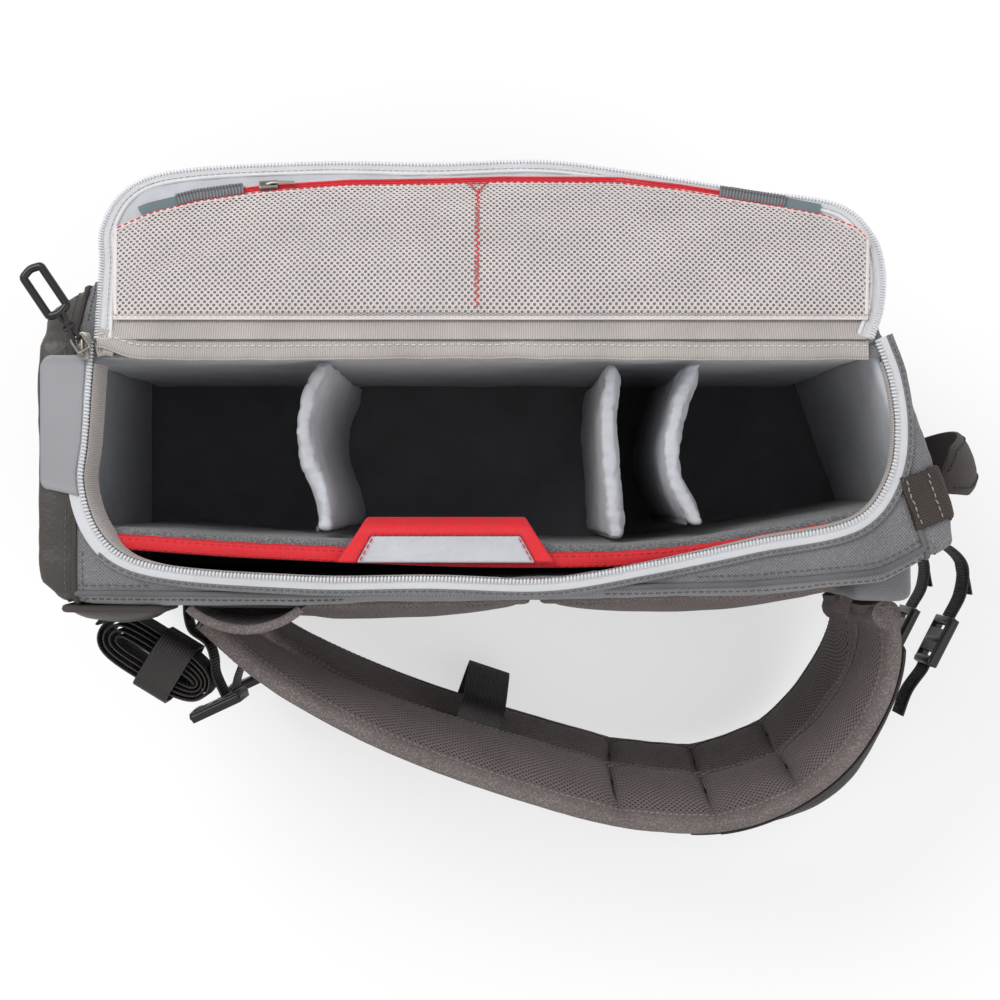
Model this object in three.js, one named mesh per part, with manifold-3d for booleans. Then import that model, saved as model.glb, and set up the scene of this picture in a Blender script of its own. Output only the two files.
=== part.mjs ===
import * as THREE from 'three';
import { mergeVertices } from 'three/addons/utils/BufferGeometryUtils.js';
import Module from 'manifold-3d';

const wasm = await Module();
wasm.setup();

// A side-access camera backpack lying on its right side with its side flap open.
// Lengths are in millimetres. X runs from base to top, Y from back to front, Z from right side to left side.

// Overall sizes of the bag
const bagHeight = 440;
const bagWidth = 250;
const mainDepth = 127;
const pocketDepth = 36;
const backY = -51;
const frontTaper = 38;
const backEdge = 8;

// Walls, padding and the running gap between neighbouring pieces
const wall = 3;
const padding = 8;
const seatGap = 0.3;
const cutOverrun = 20;

// How far each sewn panel wraps round its edges
const cuffReach = 17;
const topReach = 17;
const backReach = 6;
const hingeStrip = 8;
const frontSeam = 4;

// Side profile corners from base/back round to base/front: shares of the height, then of the full depth,
// and the face of the bag that starts there
const profileShares = [
  [-0.5, 0.067, 'corner'], [-0.477, 0.006, 'back'], [-0.216, 0, 'back'], [0.273, 0.031, 'back'],
  [0.416, 0.067, 'back'], [0.468, 0.141, 'back'], [0.5, 0.19, 'top'], [0.395, 1, 'front'],
  [-0.45, 1, 'corner'], [-0.5, 0.865, 'base'],
];

// Zip line round the side opening: shares of the height, then of the main depth
const zipLineShares = [
  [-0.4386, 1], [-0.4455, 0.63], [-0.45, 0.465], [-0.434, 0.291], [-0.4, 0.19],
  [-0.216, 0.118], [-0.075, 0.118], [0.0545, 0.11], [0.152, 0.165], [0.273, 0.252],
  [0.389, 0.346], [0.42, 0.496], [0.427, 0.661], [0.42, 0.85], [0.4045, 1],
];
const zipSteps = 44;
// Part of the opening's back edge that is a strip of its own, beside the tablet slot
const rimStripShares = [-0.216, 0.075];
const zip = { halfGap: 0.6, tapeWidth: 8, tapeThickness: 1.2, coilWidth: 3, coilHeight: 1.6 };

// Side flap, drawn closed over the opening and turned open about its hinge line
const flap = {
  hingeRise: 4, openAngle: 212, coilWidth: 3.6, coilThickness: 2.2, inset: 5, thickness: 4, start: 12,
  tapeThickness: 1.2, tapeStart: 0.6,
};
const binding = { width: 9, thickness: 2, endInset: 16, wave: 0.8, waves: 3 };
const meshPocket = { start: 13, sheet: 1.4, rise: 8, columns: 26, rows: 8, baseShare: 0.97 };

// Upper edge of the mesh pocket: shares of the height, then of the main depth away from the hinge
const pocketTopShares = [
  [-0.4318, 0.52], [-0.391, 0.598], [-0.341, 0.654], [-0.273, 0.697], [-0.17, 0.732], [0, 0.748],
  [0.136, 0.744], [0.205, 0.709], [0.261, 0.669], [0.318, 0.626], [0.364, 0.583], [0.4, 0.52], [0.4114, 0.457],
];
const redZip = { width: 6, thickness: 1.8, startShare: -0.298, endShare: 0.2557, gap: 1.2 };
const pocketSlider = { length: 9, width: 6, thickness: 2.6, startShare: -0.272 };
const grosgrainTab = { length: 27, width: 8.5, thickness: 2.6 };
const cornerPiece = { length: 20, width: 7, thickness: 1.6, lap: 3 };

// Main zip slider, its cord and its moulded ring
const slider = { width: 7.4, length: 12, height: 3.4, lift: 0.4, wall: 1.2, fromHinge: 3 };
const pull = {
  cordRadius: 1.2, cordSides: 8, ringWidth: 13, ringLength: 27, ringThickness: 3, ringWall: 3, turn: 124,
  cordLength: 17, cordSteps: 4, arcSteps: 10, roundShare: 0.98,
};
const endTab = { length: 9, width: 7, thickness: 1.6 };
const patch = { length: 62, thickness: 1.2, corner: 4, inset: 1.5, centreShare: 0.685, steps: 4 };

// Inside: tablet divider, movable dividers and the retaining tab
const tabletShares = [
  [-0.5, 0.24], [-0.45, 0.265], [-0.27, 0.232], [0, 0.197], [0.18, 0.212], [0.375, 0.315], [0.5, 0.4],
];
const tablet = { thickness: 9, clearTop: 10, bindingHeight: 3, bindingShare: 0.55 };
const divider = { thickness: 8, clearTop: 14, steps: 12 };
const leftDividerShares = [[-0.191, 1], [-0.211, 0.76], [-0.216, 0.58], [-0.211, 0.4], [-0.196, 0.2], [-0.191, 0]];
const middleDividerShares = [[0.127, 1], [0.121, 0.7], [0.125, 0.35], [0.13, 0]];
const rightDividerShares = [[0.218, 1], [0.2, 0.72], [0.191, 0.46], [0.2, 0.22], [0.225, 0]];
// Free gap behind each divider, left to right, as a share of its thickness
const dividerBackShares = [0.325, 0.1375, 0.575];
const sleeveTab = {
  thickness: 2, wide: 106, narrow: 76, centreShare: -0.059, band: 8, drop: 32, bandDrop: 14,
  clear: 1.4, overSlot: 4, belly: 8,
};

// Back pads, yoke and hip wings
const backPad = { crown: 8, edge: 2.5, columns: 12, rows: 9, channelShare: 0.45 };
const upperPad = { startShare: 0.05, endShare: 0.385 };
const lumbarPad = { startShare: -0.31, endShare: 0.03, slotLength: 46, slotDepth: 5, slotWidth: 110 };
const padBand = { lowShare: 0.2, highShare: 0.8 };
const yoke = { startShare: 0.4, endShare: 0.4655, reach: 9, lowShare: 0.17, highShare: 0.83 };
const hipWing = {
  startShare: -0.477, endShare: -0.37, edge: 3, crown: 7, width: 42, inset: 9, columns: 8, rows: 5,
};

// Front pocket and its zip on the front face
const frontPocket = { startShare: -0.4, endShare: 0.3, margin: 20, edge: 2, crown: 6, columns: 12, rows: 8 };
const frontZip = { width: 7, thickness: 1.6, lap: 4 };

// Grab handle across the top panel
const handle = {
  span: 190, rise: 40, width: 26, thickness: 2.4, footLength: 18, centreShare: 0.18, lift: 2.1, endWidth: 5,
  steps: 18, lean: 0.2, widthRate: 2,
};

// Shoulder straps: route shares of the height, of the reach and of the width for the left and the right strap
const strapReach = 106;
const strapRouteShares = [
  [-0.345, 0.075, 0.72, 0.2], [-0.273, 0.311, 0.7, 0.19], [-0.136, 0.604, 0.675, 0.17],
  [0.0227, 0.84, 0.64, 0.155], [0.17, 1, 0.61, 0.152], [0.284, 1, 0.6, 0.152], [0.382, 0.792, 0.61, 0.165],
  [0.4386, 0.443, 0.64, 0.22], [0.45, 0.18, 0.66, 0.3],
];
const strapTop = { xShare: 0.439, gap: 2.2, leftShare: 0.66, rightShare: 0.3 };
const strap = {
  width: 62, endWidth: 46, edge: 2, innerCrown: 6, outerCrown: 4, steps: 46, tilt: 19, endTaperShare: 0.12,
};
const acrossShares = [-1, -0.86, -0.5, 0, 0.5, 0.86, 1];
const tuftShares = [0.53, 0.645, 0.75];
const tuft = { depthShare: 0.85, lengthShare: 0.013, rings: [-2, -1, 0, 1, 2], clearRings: 2.4 };
const strapPocket = { startShare: 0.62, endShare: 0.95, width: 46, sheet: 1.2, crown: 8, steps: 20 };
const strapZip = { startShare: 0.65, endShare: 0.93, width: 5, thickness: 1.8, lap: 1, steps: 16 };
const webbing = { width: 25, thickness: 1.6 };
const lock = { length: 27, width: 32, thickness: 5.5, slot: 3, bar: 4, rail: 3, gap: 0.6 };

// Load lifters from the top seam: offsets as shares of their reach
const lifterReach = 22;
const lifterRouteShares = [[-0.25, -0.19], [0.12, -0.06], [0.5, -0.16], [0.92, -0.6], [0.9, -1.3], [0.62, -1.85]];
const lifterSteps = 14;
const lifterLink = { strapShare: 0.88, landShare: 0.905, lead: 3, rest: 2.4, steps: 10 };
const lifterTail = { length: 16, gap: 2.2, fromShare: 0.5, steps: 4 };

// Lower adjusters: places from the strap's lower end
const lowerLock = { alongX: 8, alongY: -46, turn: 205 };
const strapTab = { strapShare: 0.07, lockShare: 0.33, steps: 2 };
const adjusterShares = [
  [-0.18, 0.178], [-0.174, 0], [-0.122, -0.165], [0.052, -0.309], [0.117, -0.478], [0.135, -0.641], [0.243, -0.893],
];
const adjusterSpan = 46;
const adjusterSteps = 14;

// Rolled webbing tail with its elastic keeper
const roll = {
  turns: 4.5, stepsPerTurn: 20, startRadius: 1.7, pitch: 2.6, length: 40, thickness: 1.4, width: 30,
  taperShare: 0.2, turn: -31.5, fromLockX: -30, fromLockY: 23, bowRate: 2,
};
const keeper = { length: 19, wall: 1.5, clearance: 0.9, atShare: 0.12 };

// Sternum strap keeper on the right strap
const sternum = { atShare: 0.345, length: 25, wall: 2, sideGap: 0.6, outerGap: 0.9, slack: 18 };

// Surface colour, roughness and metalness of each kind of material
const looks = {
  twill: [0x77777a, 0.85, 0], tarp: [0x3a3735, 0.6, 0], lining: [0xb4b6bb, 0.7, 0], mesh: [0xd9d3d0, 0.8, 0],
  red: [0xd8232f, 0.6, 0], black: [0x1c1a19, 0.55, 0], webbing: [0x1f1c1b, 0.8, 0], strap: [0x6b5f5e, 0.9, 0],
  beige: [0xb9b0a8, 0.9, 0], zip: [0xc9cbce, 0.5, 0], slate: [0x66757a, 0.8, 0], patch: [0xa0a0a6, 0.6, 0],
  loop: [0x6f7174, 0.95, 0], metal: [0x5a5550, 0.35, 0.9], handle: [0x39312e, 0.8, 0],
};

const fullDepth = mainDepth + pocketDepth;
const baseX = -bagHeight / 2;
const hingeY = backY + mainDepth;
const frontY = backY + fullDepth;
const hingeZ = bagWidth + flap.hingeRise;
const far = bagHeight + fullDepth + bagWidth;
const axisX = new THREE.Vector3(1, 0, 0);
const axisY = new THREE.Vector3(0, 1, 0);
const axisZ = new THREE.Vector3(0, 0, 1);

const part = new THREE.Group();

function addMesh(group, name, geometry, look) {
  const [color, roughness, metalness] = looks[look];
  const mesh = new THREE.Mesh(geometry, new THREE.MeshStandardMaterial({ color, roughness, metalness }));
  mesh.name = name;
  group.add(mesh);
  return mesh;
}

// Booleans

function toSolid(geometry) {
  const bare = geometry.clone();
  bare.deleteAttribute('normal');
  bare.deleteAttribute('uv');
  const merged = mergeVertices(bare);
  const vertProperties = new Float32Array(merged.attributes.position.array);
  const triVerts = new Uint32Array(merged.index.array);
  return new wasm.Manifold(new wasm.Mesh({ numProp: 3, vertProperties, triVerts }));
}

function toGeometry(body) {
  const cut = body.getMesh();
  const geometry = new THREE.BufferGeometry();
  geometry.setAttribute('position', new THREE.BufferAttribute(new Float32Array(cut.vertProperties), 3));
  geometry.setIndex(new THREE.BufferAttribute(new Uint32Array(cut.triVerts), 1));
  geometry.computeVertexNormals();
  return geometry;
}

// Plane figures

function vector(x, y) {
  return new THREE.Vector2(x, y);
}

function meet(first, second) {
  const gap = second.start.clone().sub(first.start);
  const reach = gap.cross(second.along) / first.along.cross(second.along);
  return first.start.clone().addScaledVector(first.along, reach);
}

function inset(points, distance) {
  const count = points.length;
  const lines = points.map((point, index) => {
    const along = points[(index + 1) % count].clone().sub(point).normalize();
    const start = point.clone().add(vector(-along.y * distance, along.x * distance));
    return { start, along };
  });
  return lines.map((line, index) => meet(lines[(index + count - 1) % count], line));
}

function offsetLine(path, distance) {
  return path.map((point, index) => {
    const before = path[Math.max(index - 1, 0)];
    const after = path[Math.min(index + 1, path.length - 1)];
    const along = after.clone().sub(before).normalize();
    return vector(point.x - along.y * distance, point.y + along.x * distance);
  });
}

function ribbon(path, first, second) {
  return [...offsetLine(path, first), ...offsetLine(path, second).reverse()];
}

function smooth(points, steps) {
  const curve = new THREE.CatmullRomCurve3(points.map((point) => new THREE.Vector3(point.x, point.y, 0)));
  return curve.getSpacedPoints(steps).map((point) => vector(point.x, point.y));
}

function rectangle(lowX, lowY, highX, highY) {
  return [vector(lowX, lowY), vector(highX, lowY), vector(highX, highY), vector(lowX, highY)];
}

function roundedRectangle(lowX, lowY, highX, highY, radius, steps) {
  const centres = [[lowX + radius, lowY + radius, 2], [highX - radius, lowY + radius, 3],
    [highX - radius, highY - radius, 0], [lowX + radius, highY - radius, 1]];
  return centres.flatMap(([x, y, quarter]) => Array.from({ length: steps + 1 }, (_, step) => {
    const angle = (quarter + step / steps) * Math.PI / 2;
    return vector(x + radius * Math.cos(angle), y + radius * Math.sin(angle));
  }));
}

// Extrusions along each axis

function extrudeZ(points, low, high, hole) {
  const shape = new THREE.Shape(points);
  if (hole) shape.holes.push(new THREE.Path(hole));
  const geometry = new THREE.ExtrudeGeometry(shape, { depth: high - low, bevelEnabled: false });
  return geometry.translate(0, 0, low);
}

function extrudeX(pointsYZ, low, high) {
  const geometry = extrudeZ(pointsYZ, low, high);
  return geometry.applyMatrix4(new THREE.Matrix4().makeBasis(axisY, axisZ, axisX));
}

function box(low, high) {
  return extrudeZ(rectangle(low[0], low[1], high[0], high[1]), low[2], high[2]);
}

// Closed solids from rings and from pairs of grids

function closedGeometry(points, faces) {
  let volume = 0;
  for (let face = 0; face < faces.length; face += 3) {
    const [a, b, c] = faces.slice(face, face + 3).map((index) => points[index]);
    volume += a.dot(new THREE.Vector3().crossVectors(b, c));
  }
  const geometry = new THREE.BufferGeometry().setFromPoints(points);
  geometry.setIndex(volume > 0 ? faces : faces.reverse());
  geometry.computeVertexNormals();
  return geometry;
}

function loft(rings) {
  const corners = rings[0].length;
  const last = (rings.length - 1) * corners;
  const faces = [];
  for (let start = 0; start < last; start += corners) {
    for (let corner = 0; corner < corners; corner += 1) {
      const near = start + corner;
      const next = start + (corner + 1) % corners;
      faces.push(near, next, next + corners, near, next + corners, near + corners);
    }
  }
  for (let corner = 1; corner + 1 < corners; corner += 1) {
    faces.push(0, corner + 1, corner, last, last + corner, last + corner + 1);
  }
  return closedGeometry(rings.flat(), faces);
}

// A closed solid between an upper and a lower sheet; pointAt takes two shares and the side, 1 or 0
function sheetSolid(columns, rows, pointAt) {
  const points = [];
  const faces = [];
  const perSheet = (columns + 1) * (rows + 1);
  for (const side of [1, 0]) {
    for (let row = 0; row <= rows; row += 1) {
      for (let column = 0; column <= columns; column += 1) {
        points.push(pointAt(column / columns, row / rows, side));
      }
    }
  }
  const at = (column, row, side) => (1 - side) * perSheet + row * (columns + 1) + column;
  for (let row = 0; row < rows; row += 1) {
    for (let column = 0; column < columns; column += 1) {
      const [a, b] = [at(column, row, 1), at(column + 1, row, 1)];
      const [c, d] = [at(column + 1, row + 1, 1), at(column, row + 1, 1)];
      faces.push(a, b, c, a, c, d);
      faces.push(a + perSheet, c + perSheet, b + perSheet, a + perSheet, d + perSheet, c + perSheet);
    }
  }
  const rim = [];
  for (let column = 0; column < columns; column += 1) rim.push(at(column, 0, 1));
  for (let row = 0; row < rows; row += 1) rim.push(at(columns, row, 1));
  for (let column = columns; column > 0; column -= 1) rim.push(at(column, rows, 1));
  for (let row = rows; row > 0; row -= 1) rim.push(at(0, row, 1));
  rim.forEach((near, index) => {
    const next = rim[(index + 1) % rim.length];
    faces.push(near, near + perSheet, next + perSheet, near, next + perSheet, next);
  });
  return closedGeometry(points, faces);
}

// How full a soft piece is at a place across it: 0 at its edges, 1 over its middle
function fullness(share) {
  return Math.sqrt(Math.sin(Math.PI * share));
}

// Bands that follow a curve, their width near Z and their face turned out by a tilt

function bandFrame(curve, share, tilt) {
  const point = curve.getPointAt(share);
  const along = curve.getTangentAt(share);
  const up = axisZ.clone().addScaledVector(along, -axisZ.dot(along)).normalize();
  const side = new THREE.Vector3().crossVectors(along, up);
  const across = up.clone().multiplyScalar(Math.cos(tilt)).addScaledVector(side, Math.sin(tilt));
  const out = side.clone().multiplyScalar(Math.cos(tilt)).addScaledVector(up, -Math.sin(tilt));
  return { point, along, across, out };
}

function placeInFrame(frame, along, across, out) {
  return frame.point.clone().addScaledVector(frame.along, along)
    .addScaledVector(frame.across, across).addScaledVector(frame.out, out);
}

function flatBand(points, steps, width, thickness) {
  const curve = new THREE.CatmullRomCurve3(points);
  const rings = Array.from({ length: steps + 1 }, (_, step) => {
    const frame = bandFrame(curve, step / steps, 0);
    const corners = [[1, 1], [-1, 1], [-1, -1], [1, -1]];
    return corners.map(([across, out]) => placeInFrame(frame, 0, across * width / 2, out * thickness / 2));
  });
  return loft(rings);
}

// Side profile and cross section of the bag

const profile = profileShares.map(([x, y]) => vector(x * bagHeight, backY + y * fullDepth));
const profileFaces = profileShares.map(([, , face]) => face);
const backEdges = profileFaces.flatMap((face, index) => (face === 'back' ? [index] : []));
const topEdge = profileFaces.indexOf('top');
const baseEdge = profileFaces.indexOf('base');
const section = [
  vector(backY + backEdge, 0), vector(hingeY, 0), vector(frontY, frontTaper),
  vector(frontY, bagWidth - frontTaper), vector(hingeY, bagWidth), vector(backY + backEdge, bagWidth),
  vector(backY, bagWidth - backEdge), vector(backY, backEdge),
];

function bagBlock(depth) {
  const side = toSolid(extrudeZ(inset(profile, depth), 0, bagWidth));
  return side.intersect(toSolid(extrudeX(inset(section, depth), -far, far)));
}

// Everything on the outer side of one profile edge, starting some way inside that edge
function beyondEdge(index, reach) {
  const start = profile[index];
  const end = profile[(index + 1) % profile.length];
  const along = end.clone().sub(start).normalize();
  const outward = vector(along.y, -along.x);
  const first = start.clone().addScaledVector(along, -far).addScaledVector(outward, -reach);
  const second = end.clone().addScaledVector(along, far).addScaledVector(outward, -reach);
  const beyond = [second, first].map((point) => point.clone().addScaledVector(outward, far));
  return toSolid(extrudeZ([first, second, ...beyond], -far, far));
}

function beyondBack(reach) {
  return backEdges.map((index) => beyondEdge(index, reach)).reduce((sum, piece) => sum.add(piece));
}

function beyondPlaneY(y) {
  return toSolid(box([-far, y, -far], [far, far, far]));
}

function zBand(low, high) {
  return toSolid(box([-far, -far, low], [far, far, high]));
}

const zipLine = smooth(zipLineShares.map(([x, y]) => vector(x * bagHeight, backY + y * mainDepth)), zipSteps);
const openingFrontY = hingeY - hingeStrip;

function rimRoom(fromX, toX) {
  return toSolid(box([fromX, -far, bagWidth / 2], [toX, openingFrontY - wall, far]));
}

// Sewn panels of the outer shell, each cut clear of its neighbours

function addShell() {
  const cutter = toSolid(extrudeZ(zipLine, bagWidth / 2, bagWidth + cutOverrun));
  const opening = cutter.subtract(beyondPlaneY(openingFrontY));
  const shell = bagBlock(0).subtract(bagBlock(wall)).subtract(opening);
  const regions = [
    ['base_panel', 'tarp', (gap) => beyondEdge(baseEdge, cuffReach + gap)],
    ['top_panel', 'twill', (gap) => beyondEdge(topEdge, topReach + gap)],
    ['back_panel', 'twill', (gap) => beyondBack(backReach + gap)],
    ['front_panel', 'twill', (gap) => beyondPlaneY(hingeY + frontSeam - gap)],
  ];
  let rest = shell;
  for (const [name, look, region] of regions) {
    addMesh(part, name, toGeometry(rest.intersect(region(0))), look);
    rest = rest.subtract(region(seatGap));
  }
  const side = rest.intersect(zBand(bagWidth / 2, far));
  const [stripX, cornerX] = rimStripShares.map((share) => share * bagHeight);
  addMesh(part, 'left_side_panel', toGeometry(side.subtract(rimRoom(stripX - seatGap, far))), 'twill');
  addMesh(part, 'back_rim_strip', toGeometry(side.intersect(rimRoom(stripX, cornerX))), 'twill');
  addMesh(part, 'back_rim_corner', toGeometry(side.intersect(rimRoom(cornerX + seatGap, far))), 'twill');
  addMesh(part, 'right_side_panel', toGeometry(rest.intersect(zBand(-far, bagWidth / 2))), 'twill');
}

// Padded lining: a floor, three walls and the wall in front of the front pocket

const liningOuter = wall + seatGap;
const liningInner = liningOuter + padding;
const floorTop = liningOuter + padding;
const liningTop = bagWidth - liningOuter;

function addLining() {
  const inside = bagBlock(liningOuter).subtract(beyondPlaneY(hingeY));
  addMesh(part, 'floor_pad', toGeometry(inside.intersect(zBand(liningOuter, floorTop))), 'lining');
  let rest = inside.intersect(zBand(floorTop + seatGap, liningTop));
  const regions = [
    ['base_pad', 'lining', (gap) => beyondEdge(baseEdge, liningInner + gap)],
    ['top_pad', 'lining', (gap) => beyondEdge(topEdge, liningInner + gap)],
    ['front_wall_pad', 'lining', (gap) => beyondPlaneY(hingeY - padding - gap)],
    ['back_pad', 'loop', (gap) => beyondBack(liningInner + gap)],
  ];
  for (const [name, look, region] of regions) {
    addMesh(part, name, toGeometry(rest.intersect(region(0))), look);
    rest = rest.subtract(region(seatGap));
  }
  return rest;
}

// Tablet divider, its red binding and the retaining tab over the tablet slot

const tabletLine = smooth(tabletShares.map(([x, y]) => vector(x * bagHeight, backY + y * mainDepth)), zipSteps);
const tabletTop = liningTop - tablet.clearTop;

function tabletYAt(x) {
  const after = tabletLine.findIndex((point) => point.x > x);
  const [low, high] = [tabletLine[after - 1], tabletLine[after]];
  return low.y + (high.y - low.y) * (x - low.x) / (high.x - low.x);
}

function addTabletSleeve(cavity) {
  const half = tablet.thickness / 2;
  const slab = toSolid(extrudeZ(ribbon(tabletLine, -half, half), floorTop + seatGap, tabletTop));
  addMesh(part, 'tablet_divider', toGeometry(slab.intersect(cavity)), 'loop');
  const low = tabletTop + seatGap;
  const strip = ribbon(tabletLine, -half, tablet.thickness * tablet.bindingShare - half);
  const edge = toSolid(extrudeZ(strip, low, low + tablet.bindingHeight));
  addMesh(part, 'tablet_binding', toGeometry(edge.intersect(cavity)), 'red');
}

function addSleeveTab() {
  const centre = sleeveTab.centreShare * bagHeight;
  const sides = [centre - sleeveTab.wide / 2, centre + sleeveTab.wide / 2];
  const face = Math.max(...sides.map(tabletYAt)) + (tablet.thickness + sleeveTab.thickness) / 2 + seatGap;
  const top = tabletTop + tablet.bindingHeight + sleeveTab.clear + sleeveTab.thickness;
  const freeY = face - tablet.thickness - sleeveTab.overSlot;
  const bend = face + sleeveTab.belly;
  const line = smooth([
    vector(face, top - sleeveTab.drop), vector((face + bend) / 2, top - sleeveTab.drop / 2),
    vector(bend, top - sleeveTab.belly), vector((face + bend) / 2, top),
    vector(face - tablet.thickness, top + sleeveTab.thickness / 2), vector(freeY, top + sleeveTab.thickness),
  ], divider.steps);
  const half = sleeveTab.thickness / 2;
  const sheet = toSolid(extrudeX(ribbon(line, -half, half), centre - sleeveTab.wide, centre + sleeveTab.wide));
  const trapezoid = (trim, farY, nearY) => [
    vector(centre - sleeveTab.wide / 2 + trim, nearY), vector(centre + sleeveTab.wide / 2 - trim, nearY),
    vector(centre + sleeveTab.narrow / 2 - trim, farY), vector(centre - sleeveTab.narrow / 2 + trim, farY),
  ];
  const outline = toSolid(extrudeZ(trapezoid(0, bend + half, freeY - half), -far, far));
  const middle = (trim) => toSolid(extrudeZ(
    trapezoid(sleeveTab.band - trim, bend - sleeveTab.band + trim, freeY - sleeveTab.band),
    top - sleeveTab.bandDrop, far,
  ));
  const whole = sheet.intersect(outline);
  addMesh(part, 'sleeve_tab_binding', toGeometry(whole.subtract(middle(seatGap))), 'red');
  addMesh(part, 'sleeve_tab', toGeometry(whole.intersect(middle(0))), 'lining');
}

// Movable padded dividers, stood between the front wall and the tablet divider

function addDividers() {
  const dividerTop = liningTop - divider.clearTop;
  const high = hingeY - padding - seatGap;
  const half = divider.thickness / 2;
  const routes = [
    ['divider_left', leftDividerShares], ['divider_middle', middleDividerShares],
    ['divider_right', rightDividerShares],
  ];
  routes.forEach(([name, shares], index) => {
    const backX = shares[shares.length - 1][0] * bagHeight;
    const low = tabletYAt(backX) + tablet.thickness / 2 + divider.thickness * dividerBackShares[index];
    const line = smooth(shares.map(([x, y]) => vector(x * bagHeight, low + (high - low) * y)), divider.steps);
    const slab = toSolid(extrudeZ(ribbon(line, -half, half), floorTop + seatGap, dividerTop));
    const room = toSolid(box([-far, low, -far], [far, high, far]));
    addMesh(part, name, toGeometry(slab.intersect(room)), 'lining');
  });
}

// Zip round the opening with its folded end, and the label patch

function addRimZip() {
  const low = bagWidth + seatGap;
  const tape = toSolid(extrudeZ(ribbon(zipLine, -zip.halfGap, -zip.tapeWidth), low, low + zip.tapeThickness));
  const coilHigh = low + zip.tapeThickness + zip.coilHeight;
  const coil = toSolid(extrudeZ(ribbon(zipLine, -zip.halfGap, -zip.coilWidth), low, coilHigh));
  const tabX = zipLine[0].x - zip.coilWidth / 2;
  const tabEnd = [zipLine[0].x + zip.halfGap + endTab.length, openingFrontY + endTab.width, low + endTab.thickness];
  const tab = toSolid(box([tabX, openingFrontY, low], tabEnd));
  addMesh(part, 'rim_zip', toGeometry(tape.add(coil).add(tab)), 'zip');
  const patchX = baseX + patch.inset;
  const patchY = backY + patch.centreShare * mainDepth;
  const patchEnd = Math.min(...zipLine.map((point) => point.x)) - zip.tapeWidth - seatGap;
  const corners = roundedRectangle(
    patchX, patchY - patch.length / 2, patchEnd, patchY + patch.length / 2, patch.corner, patch.steps,
  );
  addMesh(part, 'label_patch', extrudeZ(corners, low, low + patch.thickness), 'patch');
}

function addHingeBinding() {
  const startX = zipLine[0].x + binding.endInset;
  const endX = zipLine[zipLine.length - 1].x - binding.endInset / 2;
  const middleY = hingeY - binding.width / 2;
  const line = Array.from({ length: divider.steps + 1 }, (_, step) => {
    const share = step / divider.steps;
    const wave = binding.wave * Math.sin(Math.PI * binding.waves * share);
    return vector(startX + (endX - startX) * share, middleY - wave);
  });
  const half = binding.width / 2 - binding.wave;
  const low = bagWidth + seatGap;
  addMesh(part, 'hinge_binding', extrudeZ(ribbon(line, -half, half), low, low + binding.thickness), 'beige');
}

// Main zip slider with its cord and ring

function sliderPlace() {
  const middleY = hingeY - slider.fromHinge;
  const start = zipLine[0];
  const next = zipLine[1];
  const x = start.x + (next.x - start.x) * (middleY - start.y) / (next.y - start.y);
  return vector(x - zip.halfGap - slider.width / 2, middleY);
}

function addMainSlider() {
  const place = sliderPlace();
  const coilTop = bagWidth + seatGap + zip.tapeThickness + zip.coilHeight;
  const low = coilTop + slider.lift;
  const half = slider.width / 2;
  const [lowY, highY] = [place.y - slider.length / 2, place.y + slider.length / 2];
  const plate = toSolid(box([place.x - half, lowY, low], [place.x + half, highY, low + slider.height]));
  const lipLow = bagWidth + seatGap + zip.tapeThickness + seatGap;
  const lipEnd = [place.x - half + slider.wall, highY, low + slider.wall];
  const lip = toSolid(box([place.x - half, lowY, lipLow], lipEnd));
  addMesh(part, 'main_slider', toGeometry(plate.add(lip)), 'metal');
  return { place, top: low + slider.height };
}

function addZipPull({ place, top }) {
  const group = new THREE.Group();
  group.position.set(place.x, place.y, top + seatGap + pull.cordRadius);
  group.rotation.z = THREE.MathUtils.degToRad(pull.turn);
  part.add(group);
  const cordShape = new THREE.Shape(Array.from({ length: pull.cordSides }, (_, side) => {
    const angle = side / pull.cordSides * 2 * Math.PI;
    return vector(pull.cordRadius * Math.cos(angle), pull.cordRadius * Math.sin(angle));
  }));
  const straight = new THREE.LineCurve3(new THREE.Vector3(0, 0, 0), new THREE.Vector3(pull.cordLength, 0, 0));
  const cordOptions = { extrudePath: straight, steps: pull.cordSteps, bevelEnabled: false };
  addMesh(group, 'pull_cord', new THREE.ExtrudeGeometry(cordShape, cordOptions), 'black');
  const ringStart = pull.cordLength + seatGap;
  const half = pull.ringWidth / 2;
  const loop = (wallWidth) => roundedRectangle(
    ringStart + wallWidth, wallWidth - half, ringStart + pull.ringLength - wallWidth, half - wallWidth,
    (half - wallWidth) * pull.roundShare, pull.arcSteps,
  );
  const ring = extrudeZ(loop(0), -pull.ringThickness / 2, pull.ringThickness / 2, loop(pull.ringWall));
  addMesh(group, 'pull_ring', ring, 'black');
}

// Side flap in its own frame: X along the hinge, -Y away from it when closed, -Z its inner face

function flapPoint(point) {
  return vector(point.x, point.y - hingeY);
}

function addFlap() {
  const group = new THREE.Group();
  group.position.set(0, hingeY, hingeZ);
  group.rotation.x = THREE.MathUtils.degToRad(-flap.openAngle);
  part.add(group);
  const line = zipLine.map(flapPoint);
  const keepOff = toSolid(box([-far, -flap.start, -far], [far, far, far]));
  const coil = extrudeZ(ribbon(line, zip.halfGap, flap.coilWidth + zip.halfGap), 0, flap.coilThickness);
  addMesh(group, 'flap_zip', coil, 'zip');
  const panel = toSolid(extrudeZ(offsetLine(line, flap.inset), 0, flap.thickness)).subtract(keepOff);
  const [startX, endX] = [line[0].x + binding.endInset, line[line.length - 1].x - binding.endInset];
  const tape = toSolid(box([startX, -flap.start - flap.inset, 0], [endX, -flap.tapeStart, flap.tapeThickness]));
  addMesh(group, 'flap_panel', toGeometry(panel.add(tape)), 'twill');
  addMeshPocket(group);
  addPocketZip(group);
}

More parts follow.
